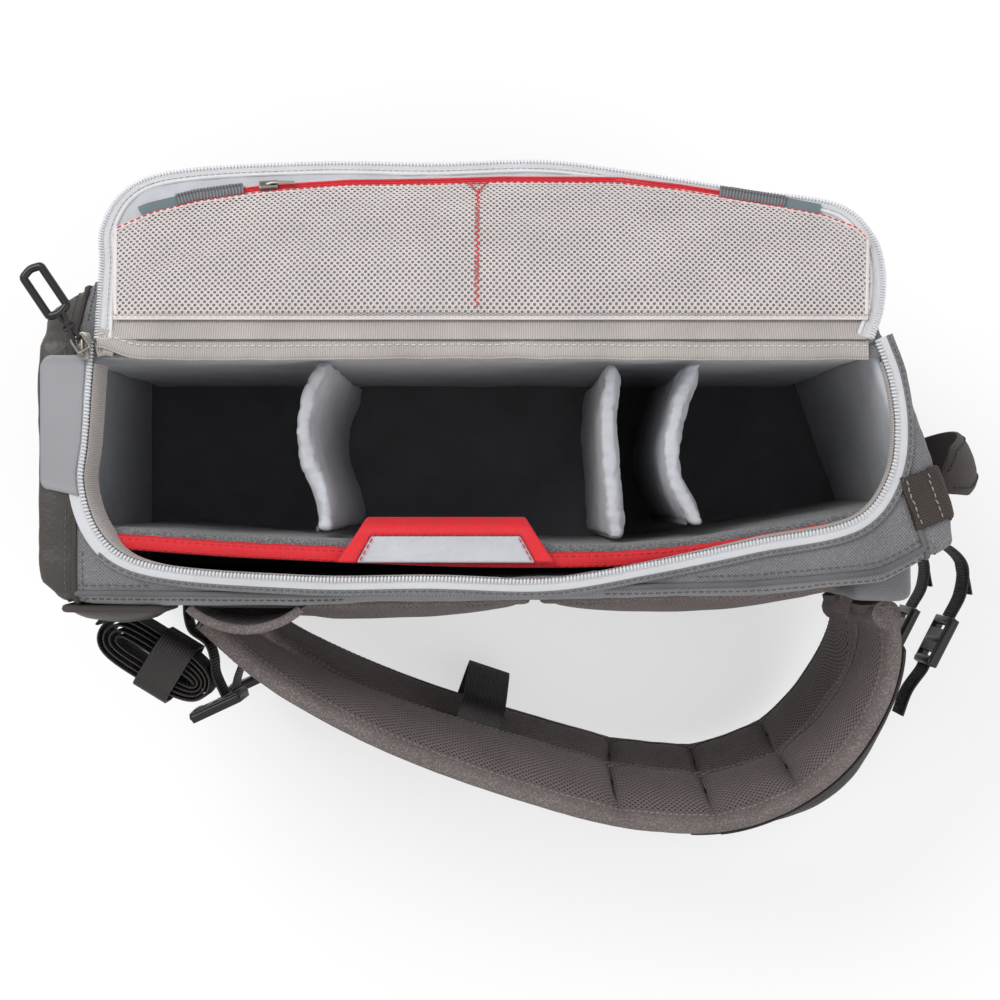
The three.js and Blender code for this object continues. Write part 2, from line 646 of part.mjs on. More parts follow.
function shareCurve(shares, share) {
  const found = shares.findIndex(([x]) => x >= share);
  const after = found < 0 ? shares.length - 1 : Math.max(found, 1);
  const [low, high] = [shares[after - 1], shares[after]];
  return low[1] + (high[1] - low[1]) * (share - low[0]) / (high[0] - low[0]);
}

function pocketEdge(x) {
  return vector(x, -mainDepth * shareCurve(pocketTopShares, x / bagHeight));
}

function addMeshPocket(group) {
  const lowX = pocketTopShares[0][0] * bagHeight;
  const highX = pocketTopShares[pocketTopShares.length - 1][0] * bagHeight;
  const sheet = sheetSolid(meshPocket.columns, meshPocket.rows, (u, v, side) => {
    const top = pocketEdge(lowX + (highX - lowX) * u);
    const x = top.x * (meshPocket.baseShare + (1 - meshPocket.baseShare) * v);
    const y = -meshPocket.start + (top.y + meshPocket.start) * v;
    const rise = meshPocket.rise * fullness(u) * fullness(v);
    return new THREE.Vector3(x, y, -seatGap - rise - (side ? meshPocket.sheet : 0));
  });
  addMesh(group, 'mesh_pocket', sheet, 'mesh');
}

// A flat band just beyond the pocket's upper edge, between two places along the hinge
function edgeBand(startX, endX, size, under) {
  const line = Array.from({ length: divider.steps + 1 }, (_, step) => (
    pocketEdge(startX + (endX - startX) * step / divider.steps).sub(vector(0, redZip.gap))
  ));
  return extrudeZ(ribbon(line, -size.width, 0), -under - size.thickness, -under);
}

function addPocketZip(group) {
  const [startX, endX] = [redZip.startShare * bagHeight, redZip.endShare * bagHeight];
  addMesh(group, 'pocket_zip', edgeBand(startX, endX, redZip, seatGap), 'red');
  const sliderX = pocketSlider.startShare * bagHeight;
  const sliderUnder = seatGap + redZip.thickness + seatGap;
  const runner = edgeBand(sliderX, sliderX + pocketSlider.length, pocketSlider, sliderUnder);
  addMesh(group, 'pocket_slider', runner, 'metal');
  for (const [name, zipEnd, way] of [['first', startX, -1], ['second', endX, 1]]) {
    const stretch = (reach, size) => {
      const [near, beyond] = [zipEnd + way * reach, zipEnd + way * (reach + size.length)];
      return toSolid(edgeBand(Math.min(near, beyond), Math.max(near, beyond), size, seatGap));
    };
    const piece = stretch(redZip.gap + grosgrainTab.length - cornerPiece.lap, cornerPiece);
    const tab = stretch(redZip.gap, grosgrainTab).add(piece);
    addMesh(group, `${name}_pocket_tab`, toGeometry(tab), 'loop');
  }
}

// Soft pads on the back and the front: a flat underside on a profile edge and a crowned outer face

function edgeFrame(index) {
  const start = profile[index];
  const along = profile[(index + 1) % profile.length].clone().sub(start).normalize();
  return { start, along, outward: vector(along.y, -along.x) };
}

function backFaceY(x) {
  const index = backEdges.find((edge) => profile[(edge + 1) % profile.length].x > x);
  const { start, along } = edgeFrame(index);
  return start.y + (x - start.x) * along.y / along.x;
}

// A pad on the back between two places along X and two heights along Z, optionally with a channel down it
function backCushion(lowX, highX, lowZ, highZ, size, channelShare) {
  return sheetSolid(size.columns, size.rows, (u, v, side) => {
    const x = lowX + (highX - lowX) * u;
    const z = lowZ + (highZ - lowZ) * v;
    const channel = 1 - channelShare * Math.exp(-Math.pow((v * 2 - 1) * size.rows / 2, 2));
    const rise = side ? size.edge + size.crown * fullness(u) * fullness(v) * channel : 0;
    return new THREE.Vector3(x, backFaceY(x) - seatGap - rise, z);
  });
}

function addBackPads() {
  const [lowZ, highZ] = [padBand.lowShare * bagWidth, padBand.highShare * bagWidth];
  const [upperX, upperEndX] = [upperPad.startShare * bagHeight, upperPad.endShare * bagHeight];
  const upper = backCushion(upperX, upperEndX, lowZ, highZ, backPad, backPad.channelShare);
  addMesh(part, 'upper_back_pad', upper, 'strap');
  const [startX, endX] = [lumbarPad.startShare * bagHeight, lumbarPad.endShare * bagHeight];
  const lumbar = toSolid(backCushion(startX, endX, lowZ, highZ, backPad, backPad.channelShare));
  const slotY = backFaceY(startX);
  const middleZ = (lowZ + highZ) / 2;
  const slot = toSolid(box(
    [startX - cutOverrun, slotY - lumbarPad.slotDepth, middleZ - lumbarPad.slotWidth / 2],
    [startX + lumbarPad.slotLength, slotY + cutOverrun, middleZ + lumbarPad.slotWidth / 2],
  ));
  addMesh(part, 'lumbar_pad', toGeometry(lumbar.subtract(slot)), 'strap');
}

function yokeFaceY() {
  return Math.min(backFaceY(yoke.startShare * bagHeight), backFaceY(yoke.endShare * bagHeight)) - yoke.reach;
}

function addYoke() {
  const [startX, endX] = [yoke.startShare * bagHeight, yoke.endShare * bagHeight];
  const [lowZ, highZ] = [yoke.lowShare * bagWidth, yoke.highShare * bagWidth];
  const block = toSolid(box([startX, yokeFaceY(), lowZ], [endX, backFaceY(endX), highZ]));
  addMesh(part, 'yoke', toGeometry(block.subtract(bagBlockGrown())), 'strap');
}

function bagBlockGrown() {
  return toSolid(extrudeZ(inset(profile, -seatGap), -far, far));
}

function addHipWings() {
  const [startX, endX] = [hipWing.startShare * bagHeight, hipWing.endShare * bagHeight];
  const highZ = bagWidth - hipWing.inset;
  const left = backCushion(startX, endX, highZ - hipWing.width, highZ, hipWing, 0);
  addMesh(part, 'left_hip_wing', left, 'tarp');
  const right = backCushion(startX, endX, hipWing.inset, hipWing.inset + hipWing.width, hipWing, 0);
  addMesh(part, 'right_hip_wing', right, 'tarp');
}

function addFrontPocket() {
  const [lowX, highX] = [frontPocket.startShare * bagHeight, frontPocket.endShare * bagHeight];
  const [lowZ, highZ] = [frontTaper + frontPocket.margin, bagWidth - frontTaper - frontPocket.margin];
  const pocket = toSolid(sheetSolid(frontPocket.columns, frontPocket.rows, (u, v, side) => {
    const rise = side ? frontPocket.edge + frontPocket.crown * fullness(u) * fullness(v) : 0;
    return new THREE.Vector3(lowX + (highX - lowX) * u, frontY + seatGap + rise, lowZ + (highZ - lowZ) * v);
  }));
  const low = frontY + seatGap;
  const zipEnd = [highX + frontZip.width, low + frontZip.thickness, highZ];
  const zipBand = toSolid(box([highX - frontZip.lap, low, lowZ], zipEnd));
  addMesh(part, 'front_pocket', toGeometry(pocket.add(zipBand)), 'twill');
}

// Grab handle: an arch of webbing between two sewn feet on the top panel

function addGrabHandle() {
  const { start, along, outward } = edgeFrame(topEdge);
  const length = profile[(topEdge + 1) % profile.length].distanceTo(start);
  const middle = start.clone().addScaledVector(along, length * handle.centreShare);
  const centreZ = bagWidth / 2;
  const alongPanel = new THREE.Vector3(along.x, along.y, 0);
  const outOfPanel = new THREE.Vector3(outward.x, outward.y, 0);
  const place = (acrossPanel, out, z) => new THREE.Vector3(middle.x, middle.y, z)
    .addScaledVector(alongPanel, acrossPanel).addScaledVector(outOfPanel, out);
  const half = handle.thickness / 2;
  const rings = Array.from({ length: handle.steps + 1 }, (_, step) => {
    const share = step / handle.steps;
    const angle = Math.PI * share;
    const rise = handle.lift + half + (handle.rise - handle.lift) * Math.sin(angle);
    const z = centreZ - handle.span / 2 * Math.cos(angle);
    const climb = (handle.rise - handle.lift) * Math.cos(angle);
    const slope = vector(handle.span / 2 * Math.sin(angle), climb).normalize();
    const ease = Math.min(1, Math.sin(angle) * handle.widthRate);
    const width = handle.endWidth + (handle.width - handle.endWidth) * ease;
    const corners = [[1, 1], [-1, 1], [-1, -1], [1, -1]];
    return corners.map(([side, face]) => place(
      side * width / 2 + handle.lean * rise, rise + face * half * slope.x, z - face * half * slope.y,
    ));
  });
  addMesh(part, 'grab_handle', loft(rings), 'handle');
  for (const [name, sign] of [['handle_foot_lower', -1], ['handle_foot_upper', 1]]) {
    const inner = centreZ + sign * (handle.span / 2 - handle.footLength / 2);
    const outer = inner + sign * handle.footLength;
    const [lowZ, highZ] = [Math.min(inner, outer), Math.max(inner, outer)];
    const corners = [[-1, 0], [1, 0], [1, 1], [-1, 1]].map(([side, up]) => {
      const point = place(side * handle.width / 2, seatGap + up * handle.thickness, 0);
      return vector(point.x, point.y);
    });
    addMesh(part, name, extrudeZ(corners, lowZ, highZ), 'handle');
  }
}

// Shoulder straps

function strapCurve(side) {
  const column = side === 'left' ? 2 : 3;
  const points = strapRouteShares.map((row) => new THREE.Vector3(
    row[0] * bagHeight, backY - row[1] * strapReach, row[column] * bagWidth,
  ));
  const topZ = bagWidth * (side === 'left' ? strapTop.leftShare : strapTop.rightShare);
  points.push(new THREE.Vector3(strapTop.xShare * bagHeight, yokeFaceY() - strapTop.gap, topZ));
  return new THREE.CatmullRomCurve3(points);
}

function strapTilt(share) {
  return THREE.MathUtils.degToRad(strap.tilt) * Math.sin(Math.PI * share);
}

function strapHalfWidth(share) {
  const ease = Math.min(1, share / strap.endTaperShare);
  return (strap.endWidth + (strap.width - strap.endWidth) * ease) / 2;
}

function strapFace(share, across, outer) {
  const round = 1 - across * across;
  if (outer) return strap.edge + strap.outerCrown * round;
  const tufts = tuftShares.map((place) => Math.exp(-Math.pow((share - place) / tuft.lengthShare, 2)));
  const pinch = across < acrossShares[5] && across > -1 ? Math.max(...tufts) * tuft.depthShare : 0;
  const side = across <= 0 ? 1 : 1 - across;
  return -strap.edge - strap.innerCrown * round * (1 - pinch * side);
}

// Even places along the strap, with closer ones over each tuft
function strapShares() {
  const clear = tuft.clearRings * tuft.lengthShare;
  const even = Array.from({ length: strap.steps + 1 }, (_, step) => step / strap.steps);
  const kept = even.filter((share) => tuftShares.every((place) => Math.abs(share - place) > clear));
  const folds = tuftShares.flatMap((place) => tuft.rings.map((ring) => place + ring * tuft.lengthShare));
  return [...kept, ...folds].sort((first, second) => first - second);
}

function addStrapPad(name, curve) {
  const rings = strapShares().map((share) => {
    const frame = bandFrame(curve, share, strapTilt(share));
    const half = strapHalfWidth(share);
    const edgeOf = (outer) => acrossShares.map((across) => (
      placeInFrame(frame, 0, across * half, strapFace(share, across, outer))
    ));
    return [...edgeOf(true), ...edgeOf(false).reverse()];
  });
  addMesh(part, name, loft(rings), 'strap');
}

function addStrapPocket(curve) {
  const { startShare, endShare } = strapPocket;
  const half = strapPocket.width / 2;
  const surface = (share, across) => {
    const end = fullness((share - startShare) / (endShare - startShare));
    const padFace = strapFace(share, across * half / strapHalfWidth(share), true);
    const lowOut = padFace + seatGap;
    return { lowOut, highOut: lowOut + strapPocket.sheet + strapPocket.crown * end * (1 - across * across) };
  };
  const rings = Array.from({ length: strapPocket.steps + 1 }, (_, step) => {
    const share = startShare + (endShare - startShare) * step / strapPocket.steps;
    const frame = bandFrame(curve, share, strapTilt(share));
    const edgeOf = (face) => acrossShares.map((across) => (
      placeInFrame(frame, 0, across * half, surface(share, across)[face])
    ));
    return [...edgeOf('highOut'), ...edgeOf('lowOut').reverse()];
  });
  const zipAcross = (half + strapZip.width / 2 - strapZip.lap) / half;
  const zipRings = Array.from({ length: strapZip.steps + 1 }, (_, step) => {
    const share = strapZip.startShare + (strapZip.endShare - strapZip.startShare) * step / strapZip.steps;
    const frame = bandFrame(curve, share, strapTilt(share));
    const middle = zipAcross * half;
    const innerSide = (middle - strapZip.width / 2) / strapHalfWidth(share);
    const face = Math.max(strapFace(share, innerSide, true), 0) + seatGap;
    const corners = [[1, 1], [-1, 1], [-1, 0], [1, 0]];
    return corners.map(([side, up]) => (
      placeInFrame(frame, 0, middle + side * strapZip.width / 2, face + up * strapZip.thickness)
    ));
  });
  addMesh(part, 'strap_pocket', toGeometry(toSolid(loft(rings)).add(toSolid(loft(zipRings)))), 'black');
}

// A ladder lock in its frame: length along, width across, two slots through its thickness
function lockGeometry(frame) {
  const [halfLength, halfWidth, half] = [lock.length / 2, lock.width / 2, lock.thickness / 2];
  let plate = toSolid(box([-halfLength, -halfWidth, -half], [halfLength, halfWidth, half]));
  const slotHalf = halfWidth - lock.rail;
  for (const start of [-halfLength + lock.bar, halfLength - lock.bar - lock.slot]) {
    const slot = box([start, -slotHalf, -lock.thickness], [start + lock.slot, slotHalf, lock.thickness]);
    plate = plate.subtract(toSolid(slot));
  }
  const matrix = new THREE.Matrix4().makeBasis(frame.along, frame.across, frame.out).setPosition(frame.point);
  const geometry = toGeometry(plate).applyMatrix4(matrix);
  return matrix.determinant() > 0 ? geometry : closedAgain(geometry);
}

function closedAgain(geometry) {
  const points = Array.from({ length: geometry.attributes.position.count }, (_, index) => (
    new THREE.Vector3().fromBufferAttribute(geometry.attributes.position, index)
  ));
  return closedGeometry(points, Array.from(geometry.index.array));
}

function addLoadLifter(side, curve) {
  const corner = profile[topEdge];
  const z = curve.getPointAt(1).z;
  const points = lifterRouteShares.map(([x, y]) => (
    new THREE.Vector3(corner.x + x * lifterReach, corner.y + y * lifterReach, z)
  ));
  const lifter = new THREE.CatmullRomCurve3(points);
  const band = toSolid(flatBand(points, lifterSteps, webbing.width, webbing.thickness));
  const tailStart = bandFrame(lifter, lifterTail.fromShare, 0);
  const tailPoints = [
    placeInFrame(tailStart, 0, 0, 0), placeInFrame(tailStart, lifterTail.length / 2, 0, lifterTail.gap),
    placeInFrame(tailStart, lifterTail.length, 0, lifterTail.gap + lifterTail.gap),
  ];
  const tail = toSolid(flatBand(tailPoints, lifterTail.steps, webbing.width, webbing.thickness));
  addMesh(part, `${side}_load_lifter`, toGeometry(band.add(tail)), 'webbing');
  const end = bandFrame(lifter, 1, 0);
  end.point.addScaledVector(end.along, lock.gap + lock.length / 2);
  addMesh(part, `${side}_lifter_lock`, lockGeometry(end), 'black');
  const pocket = side === 'left' ? strapPocket.sheet + strapPocket.crown + seatGap : 0;
  const onStrap = (share) => {
    const frame = bandFrame(curve, share, strapTilt(share));
    const across = (z - frame.point.z) / frame.across.z;
    const face = strapFace(share, across / strapHalfWidth(share), true);
    return placeInFrame(frame, 0, across, face + pocket + lifterLink.rest).setZ(z);
  };
  const leads = [0, lifterLink.lead].map((lead) => placeInFrame(end, lock.length / 2 + seatGap + lead, 0, 0));
  const route = [...leads, onStrap(lifterLink.landShare), onStrap(lifterLink.strapShare)];
  const link = flatBand(route, lifterLink.steps, webbing.width, webbing.thickness);
  addMesh(part, `${side}_lifter_link`, link, 'webbing');
}

function addLowerAdjuster(side, curve) {
  const start = curve.getPointAt(0);
  const angle = THREE.MathUtils.degToRad(lowerLock.turn);
  const along = new THREE.Vector3(Math.cos(angle), Math.sin(angle), 0);
  const point = new THREE.Vector3(start.x + lowerLock.alongX, start.y + lowerLock.alongY, start.z);
  const frame = { point, along, across: axisZ.clone(), out: new THREE.Vector3().crossVectors(along, axisZ) };
  addMesh(part, `${side}_adjuster_lock`, lockGeometry(frame), 'black');
  const { strapShare, lockShare, steps } = strapTab;
  const padFrame = bandFrame(curve, strapShare, strapTilt(strapShare));
  const tabStart = placeInFrame(padFrame, 0, 0, strapFace(strapShare, 0, true) + lock.gap);
  tabStart.z = start.z;
  const lockTop = placeInFrame(frame, -lock.length * lockShare, 0, 0)
    .add(new THREE.Vector3(0, lock.thickness / 2 + webbing.thickness, 0));
  const tab = flatBand([tabStart, lockTop], steps, webbing.width, webbing.thickness);
  addMesh(part, `${side}_strap_tab`, tab, 'webbing');
  const points = adjusterShares.map(([x, y]) => (
    new THREE.Vector3(start.x + x * adjusterSpan, start.y + y * adjusterSpan, start.z)
  ));
  const band = flatBand(points, adjusterSteps, webbing.width, webbing.thickness);
  addMesh(part, `${side}_adjuster_webbing`, band, 'webbing');
  return frame;
}

// Rolled tail: one unbroken flat band wound round a long, slightly tapered core

function addTailRoll(frame) {
  const turn = THREE.MathUtils.degToRad(roll.turn);
  const centre = frame.point.clone().add(new THREE.Vector3(roll.fromLockX, roll.fromLockY, 0));
  const alongRoll = new THREE.Vector3(Math.cos(turn), Math.sin(turn), 0);
  const acrossRoll = new THREE.Vector3(-Math.sin(turn), Math.cos(turn), 0);
  const steps = Math.round(roll.turns * roll.stepsPerTurn);
  const points = Array.from({ length: steps + 1 }, (_, step) => {
    const angle = step / roll.stepsPerTurn * 2 * Math.PI;
    const wound = roll.startRadius + roll.pitch * step / roll.stepsPerTurn;
    const radius = wound * (1 - roll.taperShare * Math.cos(angle));
    const bow = Math.tanh(roll.bowRate * Math.cos(angle)) / Math.tanh(roll.bowRate) * roll.length / 2;
    return centre.clone().addScaledVector(alongRoll, bow + radius * Math.cos(angle))
      .addScaledVector(acrossRoll, radius * Math.sin(angle));
  });
  const half = roll.width / 2;
  const rings = points.map((point, index) => {
    const along = points[Math.min(index + 1, steps)].clone().sub(points[Math.max(index - 1, 0)]).normalize();
    const out = new THREE.Vector3().crossVectors(along, axisZ);
    const corners = [[1, 1], [-1, 1], [-1, -1], [1, -1]];
    return corners.map(([across, face]) => point.clone().addScaledVector(axisZ, across * half)
      .addScaledVector(out, face * roll.thickness / 2));
  });
  console.log('least gap between the turns of the rolled tail, mm:', leastGap(points).toFixed(2));
  addMesh(part, 'tail_roll', loft(rings), 'webbing');
  const place = keeper.atShare * roll.length;
  const reach = roll.startRadius + roll.pitch * roll.turns + roll.thickness / 2 + keeper.clearance;
  const halfZ = half + keeper.clearance;
  const shell = (grow, length) => toSolid(box(
    [-length / 2, -reach - grow, -halfZ - grow], [length / 2, reach + grow, halfZ + grow],
  ));
  const band = shell(keeper.wall, keeper.length).subtract(shell(0, keeper.length + cutOverrun));
  const at = centre.clone().addScaledVector(alongRoll, place);
  const matrix = new THREE.Matrix4().makeBasis(alongRoll, acrossRoll, axisZ).setPosition(at);
  addMesh(part, 'roll_keeper', toGeometry(band).applyMatrix4(matrix), 'webbing');
}

// Least free space between turns that lie at least half a turn apart
function leastGap(points) {
  let least = Infinity;
  points.forEach((point, index) => {
    for (let other = index + roll.stepsPerTurn / 2; other + 1 < points.length; other += 1) {
      const segment = new THREE.Line3(points[other], points[other + 1]);
      const near = segment.closestPointToPoint(point, true, new THREE.Vector3());
      least = Math.min(least, near.distanceTo(point) - roll.thickness);
    }
  });
  return least;
}

function addSternumKeeper(curve) {
  const frame = bandFrame(curve, sternum.atShare, strapTilt(sternum.atShare));
  const halfAcross = strapHalfWidth(sternum.atShare) + sternum.sideGap;
  const outer = strap.edge + strap.outerCrown + sternum.outerGap;
  const inner = -strap.edge - strap.innerCrown - sternum.slack;
  const room = (grow, length) => toSolid(box(
    [-length / 2, -halfAcross - grow, inner - grow], [length / 2, halfAcross + grow, outer + grow],
  ));
  const loop = room(sternum.wall, sternum.length).subtract(room(0, sternum.length + cutOverrun));
  const matrix = new THREE.Matrix4().makeBasis(frame.along, frame.across, frame.out).setPosition(frame.point);
  const geometry = toGeometry(loop).applyMatrix4(matrix);
  addMesh(part, 'sternum_keeper', matrix.determinant() > 0 ? geometry : closedAgain(geometry), 'black');
}

function addStraps() {
  const leftCurve = strapCurve('left');
  const rightCurve = strapCurve('right');
  addStrapPad('left_strap_pad', leftCurve);
  addStrapPad('right_strap_pad', rightCurve);
  addStrapPocket(leftCurve);
  addLoadLifter('left', leftCurve);
  addLoadLifter('right', rightCurve);
  const lockFrame = addLowerAdjuster('left', leftCurve);
  addLowerAdjuster('right', rightCurve);
  addTailRoll(lockFrame);
  addSternumKeeper(rightCurve);
}

addShell();
const cavity = addLining();
addTabletSleeve(cavity);
addSleeveTab();
addDividers();
addRimZip();
addHingeBinding();
addZipPull(addMainSlider());
addFlap();
addBackPads();
addYoke();
addHipWings();
addFrontPocket();
addGrabHandle();
addStraps();

export default part;
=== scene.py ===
import math
from contextlib import contextmanager
import bmesh
import bpy
import numpy as np
from mathutils import Matrix, Vector, noise
from mathutils.bvhtree import BVHTree


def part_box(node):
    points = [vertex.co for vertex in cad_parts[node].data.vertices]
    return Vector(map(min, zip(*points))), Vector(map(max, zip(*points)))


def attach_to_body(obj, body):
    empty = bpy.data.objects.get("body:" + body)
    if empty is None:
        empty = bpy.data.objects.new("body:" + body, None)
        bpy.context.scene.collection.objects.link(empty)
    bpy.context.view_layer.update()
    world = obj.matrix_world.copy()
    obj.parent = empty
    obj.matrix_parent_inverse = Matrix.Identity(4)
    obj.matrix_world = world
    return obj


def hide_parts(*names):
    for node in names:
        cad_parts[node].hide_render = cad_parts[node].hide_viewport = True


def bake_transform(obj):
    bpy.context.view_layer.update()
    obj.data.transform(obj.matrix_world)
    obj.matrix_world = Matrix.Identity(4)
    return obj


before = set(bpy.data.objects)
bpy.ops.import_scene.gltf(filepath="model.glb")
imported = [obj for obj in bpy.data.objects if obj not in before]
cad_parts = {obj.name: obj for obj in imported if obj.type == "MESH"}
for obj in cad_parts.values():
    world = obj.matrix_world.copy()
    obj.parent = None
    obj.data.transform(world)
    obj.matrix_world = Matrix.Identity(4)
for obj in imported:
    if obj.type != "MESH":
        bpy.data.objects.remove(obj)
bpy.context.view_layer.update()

scene = bpy.context.scene

# A camera backpack on its side with its side flap open. Lengths are in millimetres until a mesh is made.
MM = 0.001
LENGTH, WIDTH, BACK_Y, ZIP_DEPTH = 440, 250, -51, 127
HINGE_Y, HINGE_Z, OPEN_ANGLE = 76.0, 254.0, 212.0
PROFILE = [(-220, -40.1), (-209.9, -50), (-95, -51), (120.1, -45.9), (183, -40.1), (205.9, -28),
           (220, -20), (173.8, 112), (-198, 112), (-220, 90)]
SECTION = [(-43, 0), (76, 0), (112, 38), (112, 212), (76, 250), (-43, 250), (-51, 242), (-51, 8)]
ZIP_SHARES = [(-0.4386, 1), (-0.4455, 0.63), (-0.45, 0.465), (-0.434, 0.291), (-0.4, 0.19),
              (-0.216, 0.118), (-0.075, 0.118), (0.0545, 0.11), (0.152, 0.165), (0.273, 0.252),
              (0.389, 0.346), (0.42, 0.496), (0.427, 0.661), (0.42, 0.85), (0.4045, 1)]
CAMERA_HEIGHT, VIEW_ANGLE = 1.150, 29.63


def added(name, data):
    """A new object in the scene."""
    obj = bpy.data.objects.new(name, data)
    scene.collection.objects.link(obj)
    return obj


# Camera, straight above the bag

def make_camera():
    data = bpy.data.cameras.new("camera")
    data.angle = math.radians(VIEW_ANGLE)
    scene.camera = added("camera", data)
    scene.camera.location = (0, 0, CAMERA_HEIGHT)


scene.view_settings.view_transform = "Standard"
make_camera()


# Materials

def linear(hex_colour):
    """An sRGB hex colour as linear RGBA."""
    parts = [int(hex_colour[i:i + 2], 16) / 255 for i in (1, 3, 5)]
    return [p / 12.92 if p <= 0.04045 else ((p + 0.055) / 1.055) ** 2.4 for p in parts] + [1.0]


def node(tree, kind, inputs=(), **settings):
    """Add a node with its settings; inputs maps a socket's name or number to a value or a link."""
    made = tree.nodes.new(kind)
    for key, value in settings.items():
        setattr(made, key, value)
    for socket, value in dict(inputs).items():
        if isinstance(value, bpy.types.NodeSocket):
            tree.links.new(value, made.inputs[socket])
        else:
            made.inputs[socket].default_value = value
    return made


def ranged(tree, value, low, high, to_low=0.0, to_high=1.0, kind="LINEAR"):
    """One range of values spread over another."""
    return node(tree, "ShaderNodeMapRange", {"Value": value, "From Min": low, "From Max": high,
                                             "To Min": to_low, "To Max": to_high},
                interpolation_type=kind).outputs[0]


def mixed(tree, share, first, second):
    return node(tree, "ShaderNodeMix", {0: share, 6: first, 7: second}, data_type="RGBA").outputs[2]


def clouds(tree, at, scale, detail=3.0, rough=0.5):
    return node(tree, "ShaderNodeTexNoise", {"Vector": at, "Scale": scale, "Detail": detail,
                                             "Roughness": rough}).outputs[0]


def cells(tree, at, pitch, low=0.16, high=0.42):
    """Staggered round places, 0 at their middle and 1 between them: holes of a knit or gaps of a weave."""
    scale = (math.sqrt(2) / pitch[0], math.sqrt(0.5) / pitch[1], 1)
    turned = node(tree, "ShaderNodeMapping", {"Vector": at, "Scale": scale, "Rotation": (0, 0, math.pi / 4)})
    spots = node(tree, "ShaderNodeTexVoronoi", {"Vector": turned.outputs[0], "Scale": 1.0, "Randomness": 0.0},
                 voronoi_dimensions="2D")
    return ranged(tree, spots.outputs[0], low, high, kind="SMOOTHSTEP")


def weave(tree, at, pitch):
    """Crossing threads: 1 on a thread's back, 0 in the pits between four threads."""
    return cells(tree, at, pitch, 0.05, 0.6)


def ribs(tree, at, pitch):
    """Even ribs across the first direction."""
    wave = node(tree, "ShaderNodeTexWave", {"Vector": at, "Scale": math.pi / 10 / pitch[0], "Distortion": 0.3,
                                            "Detail": 1.0, "Detail Scale": 3.0}, wave_type="BANDS",
                bands_direction="X")
    return wave.outputs[1]


def nap(tree, at, pitch):
    """Brushed loops, without order."""
    return ranged(tree, clouds(tree, at, 1 / pitch[0], rough=0.7), 0.35, 0.65)


def grain(tree, at, pitch):
    """Shallow pebbles of a coating."""
    pebbles = node(tree, "ShaderNodeTexVoronoi", {"Vector": at, "Scale": 1 / pitch[0]}, feature="SMOOTH_F1")
    return ranged(tree, pebbles.outputs[0], 0.0, 0.8)


FOLD_SIZE = 11


def surface(name, slot, colour, pattern, pitch, depth, shade=0.7, rough=0.8, mottle=0.08, spread=28,
            sheen=0.0, fleck=None, crease=0.25, metal=0.0, coat=0.0, specular=0.35, wear=None, on="UV"):
    """A finish from a base colour, its pattern and its relief in mm; slot, the record's material slot, is not
    used.
    """
    made = bpy.data.materials.new(name)
    made.use_nodes = True
    tree = made.node_tree
    shader = tree.nodes["Principled BSDF"]
    for socket, value in (("Roughness", rough), ("Metallic", metal), ("Coat Weight", coat),
                          ("Coat Roughness", 0.25), ("Sheen Weight", sheen), ("Sheen Roughness", 0.5),
                          ("Specular IOR Level", specular)):
        shader.inputs[socket].default_value = value
    places = node(tree, "ShaderNodeTexCoord")
    body_mm = node(tree, "ShaderNodeMapping", {"Vector": places.outputs["Object"],
                                               "Scale": (1 / MM, 1 / MM, 1 / MM)}).outputs[0]
    height = pattern(tree, places.outputs["UV"] if on == "UV" else body_mm, pitch)
    full_tone = linear(colour)
    tone = mixed(tree, height, [c * shade for c in full_tone[:3]] + [1.0], full_tone)
    if fleck:
        specks = ranged(tree, clouds(tree, body_mm, 1.1, 2.0), 0.48, 0.62, 0.0, 0.7)
        tone = mixed(tree, specks, tone, linear(fleck))
    if wear:
        edges = node(tree, "ShaderNodeNewGeometry").outputs["Pointiness"]
        tone = mixed(tree, ranged(tree, edges, 0.52, 0.6, 0.0, 0.5), tone, linear(wear))
    level = ranged(tree, clouds(tree, body_mm, 1 / spread), 0.3, 0.7, 1 - mottle, 1 + mottle)
    tint = node(tree, "ShaderNodeVectorMath", {0: tone, "Scale": level}, operation="SCALE")
    tree.links.new(tint.outputs[0], shader.inputs["Base Color"])
    folds = clouds(tree, body_mm, 1 / FOLD_SIZE)
    soft = node(tree, "ShaderNodeBump", {"Height": folds, "Distance": crease * 3 * MM})
    relief = node(tree, "ShaderNodeBump", {"Height": height, "Distance": depth * MM, "Normal": soft.outputs[0]})
    tree.links.new(relief.outputs[0], shader.inputs["Normal"])
    return made


# Heavy polyester twill: matt grey with a fine dotted weave, drawn at 1.7 mm where the real one is 0.5 mm
twill = surface("polyester_twill", "grey_twill", "#7b7b7e", weave, (1.7, 0.85), 0.28, 0.5, 0.82, 0.1,
                sheen=0.15, fleck="#828285")
# The same twill on the back, the yoke and the front pocket, a little lighter where it is stretched
pale_twill = surface("stretched_twill", "grey_twill", "#8a8a8d", weave, (1.7, 0.85), 0.25, 0.56, 0.8, 0.1,
                     sheen=0.15)
# Polyurethane-coated tarpaulin: dark, slightly waxy, pebbled, rubbed paler on its edges
tarpaulin = surface("coated_tarpaulin", "dark_tarpaulin", "#37322f", grain, (1.6, 1.6), 0.14, 0.84, 0.48,
                    0.16, 40, wear="#5d5753", specular=0.5)
# Brushed nylon lining over foam: pale grey with a soft satin sheen
lining = surface("satin_lining", "lining_foam", "#bcbec4", weave, (0.9, 0.5), 0.06, 0.9, 0.5, 0.07, sheen=0.3,
                 crease=0.8, specular=0.5)
# The same lining painted darker as painted shade, for where less light reaches it: behind the net, on the floor
# and at the dividers' hook edges
painted_shade_lining = surface("lining_behind_net", "lining_foam", "#a9a8aa", weave, (0.9, 0.5), 0.06, 0.85, 0.6, 0.1,
                     sheen=0.2, crease=0.5)
floor_lining = surface("floor_lining", "lining_foam", "#727377", weave, (0.9, 0.5), 0.08, 0.8, 0.7, 0.12,
                       sheen=0.1, crease=0.4)
